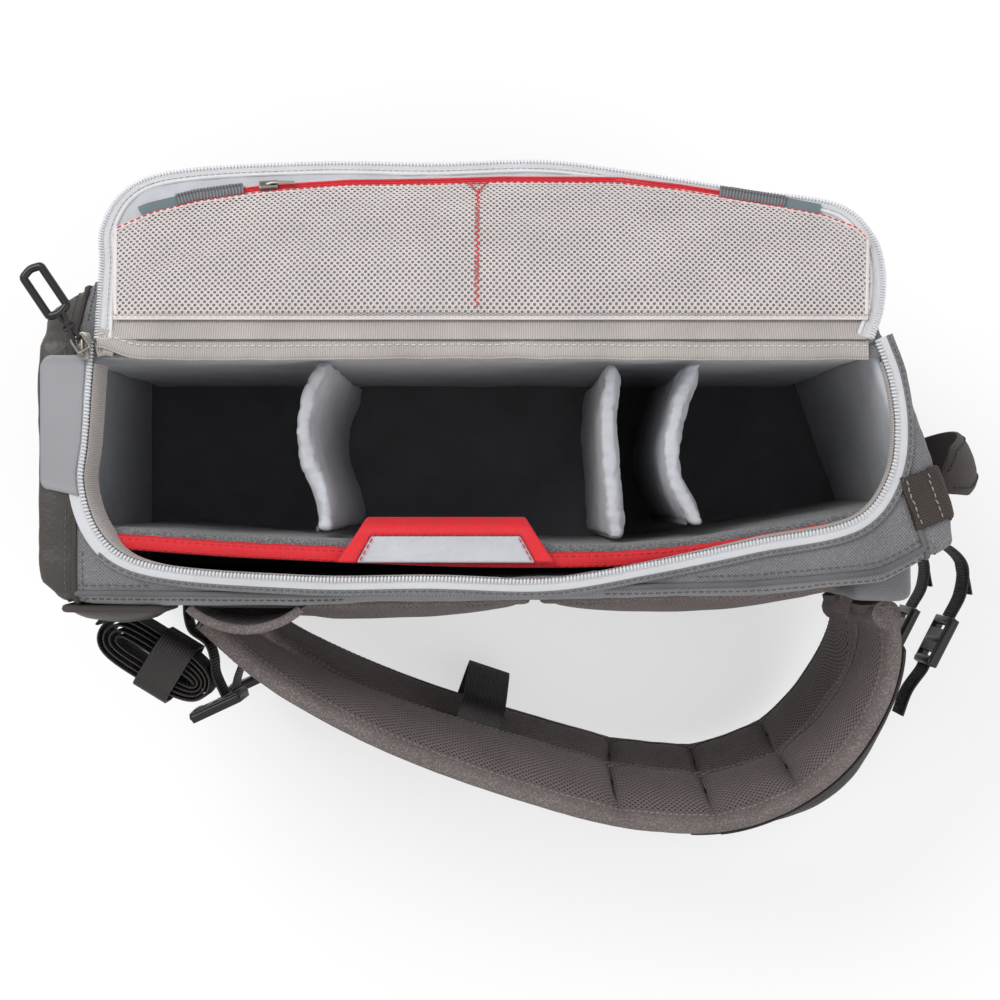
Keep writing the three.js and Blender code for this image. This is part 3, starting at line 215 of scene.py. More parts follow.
# Brushed loop fabric that hook tape grips: mottled mid grey, no gloss
loops = surface("brushed_loop", "loop_fabric", "#6f7174", nap, (1.2, 1.2), 0.5, 0.5, 0.95, 0.1, sheen=0.4,
                fleck="#9a9b9d", on="Object")
# Polyester warp-knit net thread: off-white, slightly pink
net_thread = surface("net_thread", "hex_mesh", "#ddd5d3", nap, (0.5, 0.5), 0.05, 0.93, 0.6, 0.05, on="Object")
# Dyed polyester tape: clear red, fine ribs at 0.9 mm where the real ones are 0.4 mm
red_tape = surface("red_binding_tape", "red_tape", "#e0242f", ribs, (0.9, 1), 0.1, 0.8, 0.6, 0.06, sheen=0.1)
red_coil = surface("red_nylon_coil", "red_tape", "#d41c28", nap, (0.6, 0.6), 0.03, 0.85, 0.42, 0.05,
                   on="Object", specular=0.5)
# Stretch net over the strap's pocket: black with tiny pores
stretch_net = surface("stretch_net", "black_mesh", "#2a2725", cells, (2.0, 1.1), 0.3, 0.25, 0.75, 0.15,
                      sheen=0.1)
# Black polypropylene webbing: cross ribs at 1.5 mm, a faint gloss on their backs
webbing = surface("ribbed_webbing", "black_webbing", "#272321", ribs, (1.5, 1), 0.3, 0.45, 0.62, 0.12,
                  specular=0.5)
roll_web = surface("rolled_webbing", "black_webbing", "#2e2927", weave, (1.6, 0.9), 0.3, 0.4, 0.6, 0.12,
                   specular=0.5)
# Spacer knit over foam: brown-grey with rows of dark holes, 3 mm apart
air_mesh = surface("spacer_knit", "strap_mesh", "#7a6d6c", cells, (3.0, 1.6), 0.8, 0.12, 0.85, 0.1,
                   sheen=0.15)
# Woven edge tape, heathered brown-grey
edge_tape = surface("heathered_edge_tape", "strap_mesh", "#6d6462", weave, (1.1, 0.7), 0.15, 0.7, 0.85, 0.12,
                    fleck="#8d8482")
# Folded polyester tapes: over the shell's corner cord, the twill's grey a little darker, and the straps' back
grey_piping = surface("twill_piping", "grey_twill", "#68686b", weave, (1.1, 0.7), 0.15, 0.7, 0.8, 0.12)
strap_back = surface("strap_backing", "strap_mesh", "#4a4342", weave, (1.3, 0.7), 0.2, 0.6, 0.8, 0.1)
# Grosgrain: beige with fine cross ribs at 1.1 mm
beige_grosgrain = surface("beige_grosgrain", "beige_grosgrain", "#bdb6b2", ribs, (1.1, 1), 0.25, 0.72, 0.75,
                          0.08, sheen=0.1)
# The pocket tabs' grosgrain, its ribs drawn at 1.6 mm, and their smooth slate corners
grey_grosgrain = surface("grey_grosgrain", "grey_grosgrain", "#85868a", ribs, (1.6, 1), 0.45, 0.45, 0.7, 0.1)
slate_tape = surface("slate_tape", "grey_grosgrain", "#6c7b80", weave, (1.0, 0.6), 0.1, 0.8, 0.6, 0.1)
# Nylon coil and its woven tape: nearly white
coil = surface("nylon_coil", "zip_coil", "#d9dade", nap, (0.6, 0.6), 0.02, 0.92, 0.4, 0.04, on="Object",
               specular=0.5)
zip_tape = surface("zip_tape", "zip_coil", "#d0d1d5", weave, (1.0, 0.5), 0.1, 0.85, 0.7, 0.05, sheen=0.1)
black_coil = surface("black_coil", "black_webbing", "#1b1918", nap, (0.6, 0.6), 0.02, 0.9, 0.4, 0.05,
                     on="Object", specular=0.5)
# Thermoplastic label patch: mid grey, smooth, very faint texture
patch_rubber = surface("patch_rubber", "grey_patch", "#909095", grain, (0.8, 0.8), 0.03, 0.96, 0.55, 0.03, 60,
                       crease=0.1, on="Object")
# Die-cast zinc with a dark plating, worn bright on its edges
gunmetal = surface("plated_zinc", "slider_metal", "#6a6560", nap, (0.4, 0.4), 0.02, 0.85, 0.3, 0.08,
                   metal=0.9, crease=0.0, wear="#b5b0aa", on="Object", specular=0.5)
# Braided nylon cord and acetal mouldings, black
braid = surface("braided_cord", "black_mesh", "#1f1c1b", weave, (1.0, 0.9), 0.25, 0.4, 0.55, 0.1,
                specular=0.5)
acetal = surface("moulded_acetal", "buckle_plastic", "#1d1b1a", grain, (0.5, 0.5), 0.02, 0.9, 0.33, 0.08,
                 crease=0.03, coat=0.1, on="Object", specular=0.3)
ring_gloss = surface("glossy_ring", "black_mesh", "#171514", grain, (0.5, 0.5), 0.01, 0.95, 0.22, 0.04,
                     crease=0.0, coat=0.15, on="Object", specular=0.3)
# Handle webbing: brown-black, dense herringbone drawn as a 1.8 mm weave
handle_web = surface("handle_webbing", "handle_webbing", "#443c38", weave, (1.8, 0.8), 0.35, 0.4, 0.7, 0.12)
# Bonded polyester sewing threads, smooth and a little glossy
pale_thread, grey_thread, strap_thread, dark_thread, red_thread = [
    surface(name + "_thread", slot, colour, nap, (0.3, 0.3), 0.02, 0.85, rough, 0.04, on="Object")
    for name, slot, colour, rough in (
        ("pale", "zip_coil", "#dcd8d2", 0.55), ("grey", "grey_twill", "#5d5d60", 0.6),
        ("strap", "strap_mesh", "#9b9290", 0.6), ("dark", "black_webbing", "#151312", 0.6),
        ("red", "red_tape", "#d2333c", 0.6))]


# Lines and frames along them

def unit(vector):
    return vector / max(np.linalg.norm(vector), 1e-9)


class Route:
    """A smooth line through points, read by the share of its length."""

    def __init__(self, points, straight=False):
        ends = [np.array(p, float) for p in points]
        if straight:
            self.line = np.array(ends)
        else:
            ends = [2 * ends[0] - ends[1]] + ends + [2 * ends[-1] - ends[-2]]
            spans = len(ends) - 3
            dense = []
            for place in np.linspace(0, spans, 40 * spans + 1):
                span = min(int(place), spans - 1)
                w = place - span
                a, b, c, d = ends[span:span + 4]
                ab, bc, cd = [max(np.dot(q - p, q - p), 1e-9) ** 0.25 for p, q in ((a, b), (b, c), (c, d))]
                first = ((b - a) / ab - (c - a) / (ab + bc) + (c - b) / bc) * bc
                second = ((c - b) / bc - (d - b) / (bc + cd) + (d - c) / cd) * bc
                dense.append(b * (2 * w ** 3 - 3 * w * w + 1) + first * (w ** 3 - 2 * w * w + w)
                             + c * (3 * w * w - 2 * w ** 3) + second * (w ** 3 - w * w))
            self.line = np.array(dense)
        steps = np.linalg.norm(np.diff(self.line, axis=0), axis=1)
        self.run = np.concatenate([[0], np.cumsum(steps)])
        self.length = self.run[-1]

    def at(self, share):
        goal = share * self.length
        return np.array([np.interp(goal, self.run, self.line[:, k]) for k in range(self.line.shape[1])])

    def along(self, share):
        return unit(self.at(min(share + 0.004, 1)) - self.at(max(share - 0.004, 0)))

    def points(self, count):
        return np.array([self.at(share) for share in np.linspace(0, 1, count + 1)])

    def frame(self, share, tilt=0.0):
        """Place, along, across and out of a band whose width is near Z."""
        along = self.along(share)
        up = unit(np.array([0, 0, 1.0]) - along * along[2])
        side = np.cross(along, up)
        across = up * math.cos(tilt) + side * math.sin(tilt)
        out = side * math.cos(tilt) - up * math.sin(tilt)
        return self.at(share), along, across, out


def full(share):
    """How full a soft piece is at a place across it."""
    return math.sqrt(max(math.sin(math.pi * min(max(share, 0), 1)), 0))


def lumps(x, y, z, size, seed=0.0):
    """Smooth unevenness between about -1 and 1."""
    return noise.noise(Vector((x / size + seed, y / size - seed, z / size + 2 * seed)))


# Solids as (points, faces, corner UVs in mm)

def loft(rings, caps=True):
    rings = np.asarray(rings, float)
    count, sides = rings.shape[:2]
    centre = rings.mean(axis=1)
    run = np.concatenate([[0], np.cumsum(np.linalg.norm(np.diff(centre, axis=0), axis=1))])
    loop = np.linalg.norm(np.roll(rings[count // 2], -1, axis=0) - rings[count // 2], axis=1)
    around = np.concatenate([[0], np.cumsum(loop)])
    faces, uvs = [], []
    for i in range(count - 1):
        for j in range(sides):
            k = (j + 1) % sides
            faces.append((i * sides + j, i * sides + k, (i + 1) * sides + k, (i + 1) * sides + j))
            uvs += [(run[i], around[j]), (run[i], around[j + 1]), (run[i + 1], around[j + 1]),
                    (run[i + 1], around[j])]
    if caps:
        last = (count - 1) * sides
        faces += [tuple(range(sides))[::-1], tuple(range(last, last + sides))]
        uvs += [(run[0], around[j]) for j in range(sides)][::-1]
        uvs += [(run[-1], around[j]) for j in range(sides)]
    return rings.reshape(-1, 3), faces, uvs


def closed_loft(rings):
    """A tube that closes on itself."""
    rings = np.asarray(rings, float)
    points, faces, uvs = loft(np.concatenate([rings, rings[:1]]), caps=False)
    count = len(rings) * rings.shape[1]
    return points[:count], [tuple(v % count for v in face) for face in faces], uvs


def tube(line, radius, sides=8, closed=False, flat=1.0):
    line = np.asarray(line, float)
    if closed:
        ways = np.roll(line, -1, axis=0) - np.roll(line, 1, axis=0)
    else:
        ways = np.gradient(line, axis=0)
    side = None
    rings = []
    for point, way in zip(line, ways):
        way = unit(way)
        hint = np.array([0, 0, 1.0]) if side is None else side
        if side is None and abs(way[2]) > 0.9:
            hint = np.array([1.0, 0, 0])
        side = unit(hint - way * np.dot(hint, way))
        other = np.cross(way, side)
        rings.append([point + side * radius * flat * math.cos(a) + other * radius * math.sin(a)
                      for a in np.arange(sides) / sides * 2 * math.pi])
    return closed_loft(rings) if closed else loft(rings)


def strip_section(low, high, thickness, lift=0.0, belly=0.0):
    """Closed outline of a flat band with softened edges: (offset, height) pairs."""
    width = high - low
    top = [(low + width * s, lift + thickness * (0.75 if s in (0, 1) else 1) + belly * math.sin(math.pi * s))
           for s in (0, 0.06, 0.28, 0.5, 0.72, 0.94, 1)]
    under = [(low + width * s, lift + (0.25 * thickness if s in (0, 1) else 0)) for s in (1, 0.94, 0.06, 0)]
    return top + under


def flat_strip(line, low, high, thickness, lift=0.0, belly=0.0):
    """A band beside a plane line, in sheet space: x, y and the height over the sheet."""
    ways = np.gradient(np.asarray(line, float), axis=0)
    rings = []
    for (x, y), way in zip(line, ways):
        dx, dy = unit(way)
        section = strip_section(low, high, thickness, lift, belly)
        rings.append([(x - dy * o, y + dx * o, h) for o, h in section])
    return loft(rings)


def swept(shares, section, place):
    """A section carried along; place(share, across, height) gives each of its points."""
    return loft([[place(share, a, h) for a, h in section] for share in shares])


def band(route, steps, width, thickness, uneven=0.0):
    """Webbing along a route."""
    def place(share, a, h):
        point, _, across, out = route.frame(share)
        spot = point + across * a + out * (h - thickness / 2)
        return spot + out * uneven * lumps(*spot, 14)

    return swept(np.linspace(0, 1, steps + 1), strip_section(-width / 2, width / 2, thickness), place)


def attach(obj, body, nodes=(), fill=None, bend=None):
    """Tie a piece to its body, or, when bend is given, only bake its place into its mesh."""
    if bend:
        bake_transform(obj)
    else:
        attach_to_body(obj, body)
    if nodes:
        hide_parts(*nodes)
    return obj


@contextmanager
def edited(mesh):
    """The bmesh of a mesh, written back when the edit ends."""
    work = bmesh.new()
    work.from_mesh(mesh)
    yield work
    work.to_mesh(mesh)
    work.free()


def tidy_mesh(mesh, angle=45):
    """Join doubles, turn faces outwards and shade smooth between sharp edges."""
    with edited(mesh) as work:
        bmesh.ops.remove_doubles(work, verts=work.verts, dist=2e-6)
        bmesh.ops.recalc_face_normals(work, faces=work.faces)
    mesh.shade_smooth()
    mesh.set_sharp_from_angle(angle=math.radians(angle))


def mesh_of(name, points, faces=()):
    mesh = bpy.data.meshes.new(name)
    mesh.from_pydata((np.asarray(points) * MM).tolist(), [], list(faces))
    return mesh


def object_of(work, name):
    """An object from a finished bmesh."""
    mesh = bpy.data.meshes.new(name)
    work.to_mesh(mesh)
    work.free()
    return added(name, mesh)


def make(name, body, material, solids, nodes=(), fill=None, angle=45, place=None, bend=None):
    """One object from solids; place moves each point to where the piece is."""
    points, faces, uvs = [], [], []
    for solid_points, solid_faces, solid_uvs in solids:
        start = sum(len(p) for p in points)
        if place:
            solid_points = [place(*p) for p in solid_points]
        points.append(np.asarray(solid_points, float))
        faces += [tuple(v + start for v in face) for face in solid_faces]
        uvs += list(solid_uvs)
    mesh = mesh_of(name, np.concatenate(points), faces)
    layer = mesh.uv_layers.new(name="UVMap")
    layer.data.foreach_set("uv", np.asarray(uvs, float).ravel())
    mesh.materials.append(material)
    tidy_mesh(mesh, angle)
    return attach(added(name, mesh), body, nodes, fill, bend)


# Modifiers turned into plain mesh

def bake(obj):
    graph = bpy.context.evaluated_depsgraph_get()
    mesh = bpy.data.meshes.new_from_object(obj.evaluated_get(graph))
    obj.modifiers.clear()
    obj.data = mesh
    return obj


def modify(obj, kind, **settings):
    modifier = obj.modifiers.new(kind.lower(), kind)
    for key, value in settings.items():
        setattr(modifier, key, value)
    return bake(obj)


def read(items, name, width=1, kind=float):
    """One value, or a row of values, for each vertex, corner or face."""
    values = np.empty(len(items) * width, kind)
    items.foreach_get(name, values)
    return values.reshape(-1, width) if width > 1 else values


def box_uv(mesh):
    """UVs in mm from the plane that each face looks along."""
    main = np.abs(read(mesh.polygons, "normal", 3)).argmax(axis=1)
    axis = np.repeat(main, read(mesh.polygons, "loop_total", kind=int))
    corners = coordinates(mesh)[read(mesh.loops, "vertex_index", kind=int)]
    u = np.where(axis == 0, corners[:, 1], corners[:, 0])
    v = np.where(axis == 2, corners[:, 1], corners[:, 2])
    layer = mesh.uv_layers.get("UVMap") or mesh.uv_layers.new(name="UVMap")
    layer.data.foreach_set("uv", np.stack([u, v], axis=1).ravel())


def coordinates(mesh):
    return read(mesh.vertices, "co", 3) / MM


def set_coordinates(mesh, points):
    mesh.vertices.foreach_set("co", (np.asarray(points) * MM).ravel())
    mesh.update()


def normals_of(mesh):
    return read(mesh.vertices, "normal", 3)


def copy_of(node_name, name):
    """A merged copy of a CAD solid."""
    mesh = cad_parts[node_name].data.copy()
    mesh.name = name
    mesh.materials.clear()
    with edited(mesh) as work:
        bmesh.ops.remove_doubles(work, verts=work.verts, dist=1e-5)
        bmesh.ops.dissolve_limit(work, angle_limit=0.01, verts=work.verts, edges=work.edges)
    return added(name, mesh)


def dressed(obj, material=None, sharp=None):
    """UVs, a finish, and smooth shading up to an angle in degrees."""
    box_uv(obj.data)
    if material:
        obj.data.materials.append(material)
    obj.data.shade_smooth()
    if sharp:
        obj.data.set_sharp_from_angle(angle=math.radians(sharp))


def box_mm(node_name):
    """The low and the high corner of a CAD solid's box."""
    return [[v / MM for v in corner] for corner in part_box(node_name)]


PUFF_FRAMES = 20


def puff(obj, pressure, cap, held=None):
    """Blow a padded piece up with cloth under pressure; held says which points stay."""
    start = coordinates(obj.data)
    cloth = obj.modifiers.new("puff", "CLOTH")
    settings = cloth.settings
    settings.use_pressure = True
    settings.uniform_pressure_force = pressure
    settings.effector_weights.gravity = 0
    settings.quality = 4
    if held is not None:
        group = obj.vertex_groups.new(name="held")
        group.add([i for i, p in enumerate(start) if held(p)], 1.0, "REPLACE")
        settings.vertex_group_mass = "held"
    cloth.point_cache.frame_end = PUFF_FRAMES
    for step in range(1, PUFF_FRAMES + 1):
        scene.frame_set(step)
    graph = bpy.context.evaluated_depsgraph_get()
    result = coordinates(obj.evaluated_get(graph).data)
    obj.modifiers.clear()
    obj.vertex_groups.clear()
    scene.frame_set(1)
    shift = result - start
    reach = np.linalg.norm(shift, axis=1, keepdims=True)
    set_coordinates(obj.data, start + shift * np.minimum(1, cap / np.maximum(reach, 1e-9)))


def soft_piece(node_name, name, body, material, voxel=3.5, smoothing=4, fill=0.6, ruffle=(18, 0.5),
               pressure=None, cap=2.0, shrink=0.0, held=None, finer=False, shape=None):
    """A padded piece grown from its CAD solid: remeshed, puffed and unevened."""
    obj = copy_of(node_name, name)
    modify(obj, "REMESH", mode="VOXEL", voxel_size=voxel * MM)
    modify(obj, "SMOOTH", factor=0.5, iterations=smoothing)
    if shrink:
        set_coordinates(obj.data, coordinates(obj.data) - normals_of(obj.data) * shrink)
    if pressure:
        puff(obj, pressure, cap, held)
    if finer:
        modify(obj, "SUBSURF", levels=1, render_levels=1)
    points, normals = coordinates(obj.data), normals_of(obj.data)
    for i, (p, n) in enumerate(zip(points.copy(), normals)):
        points[i] = p + n * ruffle[1] * lumps(*p, ruffle[0], 3.1)
        if shape:
            points[i] = shape(points[i], n)
    set_coordinates(obj.data, points)
    dressed(obj, material)
    return attach(obj, body, [node_name], fill)


def bevelled(node_name, name, material, body, width):
    """A rigid moulding or sewn block from its CAD solid, its edges rounded."""
    obj = copy_of(node_name, name)
    with edited(obj.data) as work:
        sharp = [e for e in work.edges if len(e.link_faces) == 2 and e.calc_face_angle() > math.radians(25)]
        bmesh.ops.bevel(work, geom=sharp, offset=width * MM, segments=3, profile=0.6, affect="EDGES",
                        clamp_overlap=True)
        bmesh.ops.recalc_face_normals(work, faces=work.faces)
    dressed(obj, material, 50)
    return attach(obj, body, [node_name])


# What repeats: stitches, coil loops and net cells are laid out as points, and Geometry Nodes set one on each

repeats = {}


def lay(shape, material, body, points, alongs, outs):
    """Note places for a repeated shape."""
    repeats.setdefault((shape, material.name, body), []).extend(zip(points, alongs, outs))


def lay_on_sheet(shape, material, body, line, offset, lift, pitch, place, turn=0.0):
    """Places along a plane line over a sheet."""
    route = Route([tuple(p) for p in line], straight=True)
    count = max(int(route.length / pitch), 1)
    points, alongs, outs = [], [], []
    for step in range(count):
        share = (step + 0.5) / count
        x, y = route.at(share)
        dx, dy = route.along(share)
        x, y = x - dy * offset, y + dx * offset
        c, d = math.cos(turn), math.sin(turn)
        dx, dy = dx * c - dy * d, dx * d + dy * c
        here = np.array(place(x, y, lift))
        points.append(here)
        alongs.append(unit(np.array(place(x + dx, y + dy, lift)) - here))
        outs.append(unit(np.array(place(x, y, lift + 1)) - here))
    lay(shape, material, body, points, alongs, outs)


def lay_on_line(shape, material, body, points, outs, pitch):
    """Places along a line in space with its outward directions."""
    points, outs = np.asarray(points, float), np.asarray(outs, float)
    steps = np.linalg.norm(np.diff(points, axis=0), axis=1)
    run = np.concatenate([[0], np.cumsum(steps)])
    count = max(int(run[-1] / pitch), 1)
    goals = (np.arange(count) + 0.5) / count * run[-1]
    pick = lambda values, goal: np.array([np.interp(goal, run, values[:, k]) for k in range(3)])
    here = [pick(points, g) for g in goals]
    ways = [unit(pick(points, min(g + 0.5, run[-1])) - pick(points, max(g - 0.5, 0))) for g in goals]
    lay(shape, material, body, here, ways, [unit(pick(outs, g)) for g in goals])


def sew(thread, body, row, pitch):
    """Stitches along a row of (place, outward direction)."""
    lay_on_line("stitch", thread, body, [r[0] for r in row], [r[1] for r in row], pitch)


def stitch_shape():
    rings = []
    for x, r, z in ((-1.25, 0.1, -0.15), (-0.9, 0.3, 0.12), (0, 0.36, 0.24), (0.9, 0.3, 0.12),
                    (1.25, 0.1, -0.15)):
        rings.append([(x, r * math.cos(a), z + r * math.sin(a)) for a in np.arange(6) * math.pi / 3])
    return loft(rings)


def loop_shape(width, height, thick):
    """One loop of a zip's coil: a small arch across the line."""
    rings = []
    for s in (-1, -0.7, 0, 0.7, 1):
        y, z = s * width / 2, height * (1 - s * s) + thick * 0.3
        rings.append([(thick * math.cos(a) + s * thick * 0.5, y, z + thick * math.sin(a))
                      for a in np.arange(5) * math.pi * 0.4])
    return loft(rings)


def cell_shape():
    """A net cell: six-sided thread ring round an oval hole."""
    outer = [(1.5, 0.2), (0, 1.53), (-1.5, 0.2), (-1.5, -0.2), (0, -1.53), (1.5, -0.2)]
    inner = [(0.72, 0.46), (0, 0.86), (-0.72, 0.46), (-0.72, -0.46), (0, -0.86), (0.72, -0.46)]
    rings = [[(x * 1.04, y * 1.04, 0) for x, y in outer], [(x * 1.13, y * 1.13, 0.24) for x, y in inner],
             [(x, y, 0.05) for x, y in inner], [(x * 1.04, y * 1.04, -0.25) for x, y in outer]]
    return closed_loft(rings)


def bar_shape():
    """A bar tack: a dense block of stitches."""
    rings = []
    for x, r, z in ((-3.2, 0.3, 0), (-2.8, 0.75, 0.1), (0, 0.9, 0.2), (2.8, 0.75, 0.1), (3.2, 0.3, 0)):
        rings.append([(x, r * math.cos(a), z + 0.6 * r * math.sin(a)) for a in np.arange(8) * math.pi / 4])
    return loft(rings)


SHAPES = {"stitch": stitch_shape(), "coil_loop": loop_shape(2.7, 0.8, 0.5),
          "fine_loop": loop_shape(1.5, 0.45, 0.3), "net_cell": cell_shape(), "bar_tack": bar_shape()}


def repeat_tree():
    """Geometry Nodes: one shape on each point, turned by the point's own directions."""
    tree = bpy.data.node_groups.new("repeat_on_points", "GeometryNodeTree")
    sockets = {}
    for label, kind in (("Points", "Geometry"), ("Shape", "Object"), ("Finish", "Material"),
                        ("Unevenness", "Float"), ("Seed", "Int")):
        sockets[label] = tree.interface.new_socket(label, in_out="INPUT",
                                                   socket_type="NodeSocket" + kind).identifier
    tree.interface.new_socket("Geometry", in_out="OUTPUT", socket_type="NodeSocketGeometry")
    given = node(tree, "NodeGroupInput")
    along = node(tree, "GeometryNodeInputNamedAttribute", {"Name": "along"}, data_type="FLOAT_VECTOR")
    out = node(tree, "GeometryNodeInputNamedAttribute", {"Name": "out"}, data_type="FLOAT_VECTOR")
    first = node(tree, "FunctionNodeAlignRotationToVector", {"Vector": out.outputs[0]}, axis="Z")
    second = node(tree, "FunctionNodeAlignRotationToVector",
                  {"Rotation": first.outputs[0], "Vector": along.outputs[0]}, axis="X", pivot_axis="Z")
    low = node(tree, "ShaderNodeMath", {0: 1.0, 1: given.outputs["Unevenness"]}, operation="SUBTRACT")
    high = node(tree, "ShaderNodeMath", {0: 1.0, 1: given.outputs["Unevenness"]}, operation="ADD")
    size = node(tree, "FunctionNodeRandomValue", {2: low.outputs[0], 3: high.outputs[0],
                                                  8: given.outputs["Seed"]}, data_type="FLOAT")
    shape = node(tree, "GeometryNodeObjectInfo", {"Object": given.outputs["Shape"]})
    set_on = node(tree, "GeometryNodeInstanceOnPoints",
                  {"Points": given.outputs["Points"], "Instance": shape.outputs["Geometry"],
                   "Rotation": second.outputs[0], "Scale": size.outputs[1]})
    plain = node(tree, "GeometryNodeRealizeInstances", {"Geometry": set_on.outputs[0]})
    finish = node(tree, "GeometryNodeSetMaterial", {"Geometry": plain.outputs[0],
                                                    "Material": given.outputs["Finish"]})
    node(tree, "NodeGroupOutput", {0: finish.outputs[0]})
    return tree, sockets


def build_repeats():
    tree, sockets = repeat_tree()
    shapes = {}
    for label, (points, faces, _) in SHAPES.items():
        mesh = mesh_of("shape_" + label, points, faces)
        tidy_mesh(mesh, 70)
        shapes[label] = added("shape_" + label, mesh)
    for number, ((shape, material_name, body), places) in enumerate(sorted(repeats.items())):
        name = f"{body}_{shape}_{material_name}"
        mesh = mesh_of(name, [p for p, _, _ in places])
        for label, index in (("along", 1), ("out", 2)):
            attribute = mesh.attributes.new(label, "FLOAT_VECTOR", "POINT")
            attribute.data.foreach_set("vector", np.array([p[index] for p in places], np.float32).ravel())
        obj = added(name, mesh)
        modifier = obj.modifiers.new("repeat", "NODES")
        modifier.node_group = tree
        modifier[sockets["Shape"]] = shapes[shape]
        modifier[sockets["Finish"]] = bpy.data.materials[material_name]
        modifier[sockets["Unevenness"]] = 0.02 if shape == "net_cell" else 0.07
        modifier[sockets["Seed"]] = number
        bake(obj)
        for label in ("along", "out"):
            if label in obj.data.attributes:
                obj.data.attributes.remove(obj.data.attributes[label])
        obj.data.materials.clear()
        obj.data.materials.append(bpy.data.materials[material_name])
        obj.data.shade_smooth()
        attach(obj, body)
    for obj in shapes.values():
        bpy.data.objects.remove(obj)


# Outer shell: one rounded, slack block, cut open and parted along its seams

def inward(index, x, y):
    """How far a place lies inside one edge of the side profile."""
    (ax, ay), (bx, by) = PROFILE[index], PROFILE[(index + 1) % len(PROFILE)]
    length = math.hypot(bx - ax, by - ay)
    return -((x - ax) * (by - ay) - (y - ay) * (bx - ax)) / length


BASE_SEAM_X, FRONT_SEAM_Y, TOP_REACH, BACK_REACH = -203, 80, 17, 6
TOP_EDGE, BACK_EDGES = 6, range(1, 6)


def from_back(x, y):
    return min(inward(i, x, y) for i in BACK_EDGES)


def panel_at(x, y, z):
    """The panel that covers a place on the shell."""
    if x < BASE_SEAM_X:
        return "base"
    if inward(TOP_EDGE, x, y) < TOP_REACH:
        return "top"
    if from_back(x, y) < BACK_REACH:
        return "back"
    if y > FRONT_SEAM_Y:
        return "front"
    return "left_side" if z > WIDTH / 2 else "right_side"


def slackness(x, y, z, normal):
    """How far the cloth stands out: drawn in at seams, full between them, creased along the bag."""
    near = min(abs(x - BASE_SEAM_X), abs(inward(TOP_EDGE, x, y) - TOP_REACH), abs(y - FRONT_SEAM_Y),
               abs(from_back(x, y) - BACK_REACH))
    pinch = -1.3 * math.exp(-(near / 4.5) ** 2)
    fill = 1.6 * (1 - math.exp(-(near / 22) ** 2))
    # Flatter on the two big sides, fuller on the base
    if abs(normal[2]) > 0.7:
        fill *= 0.35
    if normal[0] < -0.7:
        fill *= 1.5
    creases = lumps(x * 0.35, y, z, 16, 1.7) + 0.5 * lumps(x * 0.5, y, z, 7, 4.2)
    broad = 0.8 * lumps(x, y, z, 60, 0.4)
    return pinch + fill + 0.75 * creases + broad


def half_space(work, point, outward):
    cut = bmesh.ops.bisect_plane(work, geom=work.verts[:] + work.edges[:] + work.faces[:], dist=1e-7,
                                 plane_co=point, plane_no=outward, clear_outer=True)
    edges = [e for e in cut["geom_cut"] if isinstance(e, bmesh.types.BMEdge)]
    bmesh.ops.holes_fill(work, edges=edges)


def slack_block():
    work = bmesh.new()
    bmesh.ops.create_cube(work, size=1.2)
    for i, (x, y) in enumerate(PROFILE):
        nx, ny = PROFILE[(i + 1) % len(PROFILE)]
        half_space(work, Vector((x, y, 0)) * MM, Vector((ny - y, x - nx, 0)).normalized())
    for i, (y, z) in enumerate(SECTION):
        ny, nz = SECTION[(i + 1) % len(SECTION)]
        half_space(work, Vector((0, y, z)) * MM, Vector((0, nz - z, y - ny)).normalized())
    obj = object_of(work, "slack_block")
    modify(obj, "REMESH", mode="VOXEL", voxel_size=3.6 * MM)
    modify(obj, "SMOOTH", factor=0.5, iterations=9)
    points, normals = coordinates(obj.data), normals_of(obj.data)
    shifted = [p + n * slackness(*p, n) for p, n in zip(points, normals)]
    for p in shifted:
        p[2] = max(p[2], 0.2)
    set_coordinates(obj.data, shifted)
    return obj


block = slack_block()
skin_tree = BVHTree.FromObject(block, bpy.context.evaluated_depsgraph_get())


def rim_height(x, y):
    """Height of the open side's cloth."""
    hit = skin_tree.ray_cast(Vector((x, y, 300)) * MM, Vector((0, 0, -1)))
    return hit[0].z / MM if hit[0] else 250.0


def on_rim(x, y, h):
    """From sheet space to over the open side."""
    return x, y, max(rim_height(x, y), 249.2) + h


def on_skin(point, lift=0.0):
    """Nearest place on the outer cloth, and its outward direction."""
    hit, normal, _, _ = skin_tree.find_nearest(Vector(point) * MM)
    return np.array(hit) / MM + np.array(normal) * lift, np.array(normal)


def on_plan(shares):
    """From shares of the bag's length and of its zip's depth to mm."""
    return [(x * LENGTH, BACK_Y + y * ZIP_DEPTH) for x, y in shares]


zip_line = Route(on_plan(ZIP_SHARES)).points(150)
CUT_Y = 68      # the opening's cut ends under the flap's hinge


def prism(outline, low, high):
    """A closed bmesh from a plane outline, between two heights."""
    work = bmesh.new()
    under, over = [[work.verts.new(Vector((x, y, z)) * MM) for x, y in outline] for z in (low, high)]
    work.faces.new(under[::-1])
    work.faces.new(over)
    for i in range(len(outline)):
        k = (i + 1) % len(outline)
        work.faces.new((under[i], under[k], over[k], over[i]))
    bmesh.ops.recalc_face_normals(work, faces=work.faces)
    return work


def cut_opening(obj):
    """Cut the U-shaped opening out of the block's upper side and drop the inner walls that the cut leaves."""
    outline = [tuple(p) for p in zip_line if p[1] <= CUT_Y]
    outline = [(outline[0][0], CUT_Y), *outline, (outline[-1][0], CUT_Y)]
    cutter = object_of(prism(outline, 130, 280), "opening")
    modify(obj, "BOOLEAN", operation="DIFFERENCE", solver="EXACT", object=cutter)
    bpy.data.objects.remove(cutter)
    work = bmesh.new()
    work.from_mesh(obj.data)
    inner = [f for f in work.faces if max(skin_tree.find_nearest(v.co)[3] for v in f.verts) > 0.0015]
    bmesh.ops.delete(work, geom=inner, context="FACES")
    return work


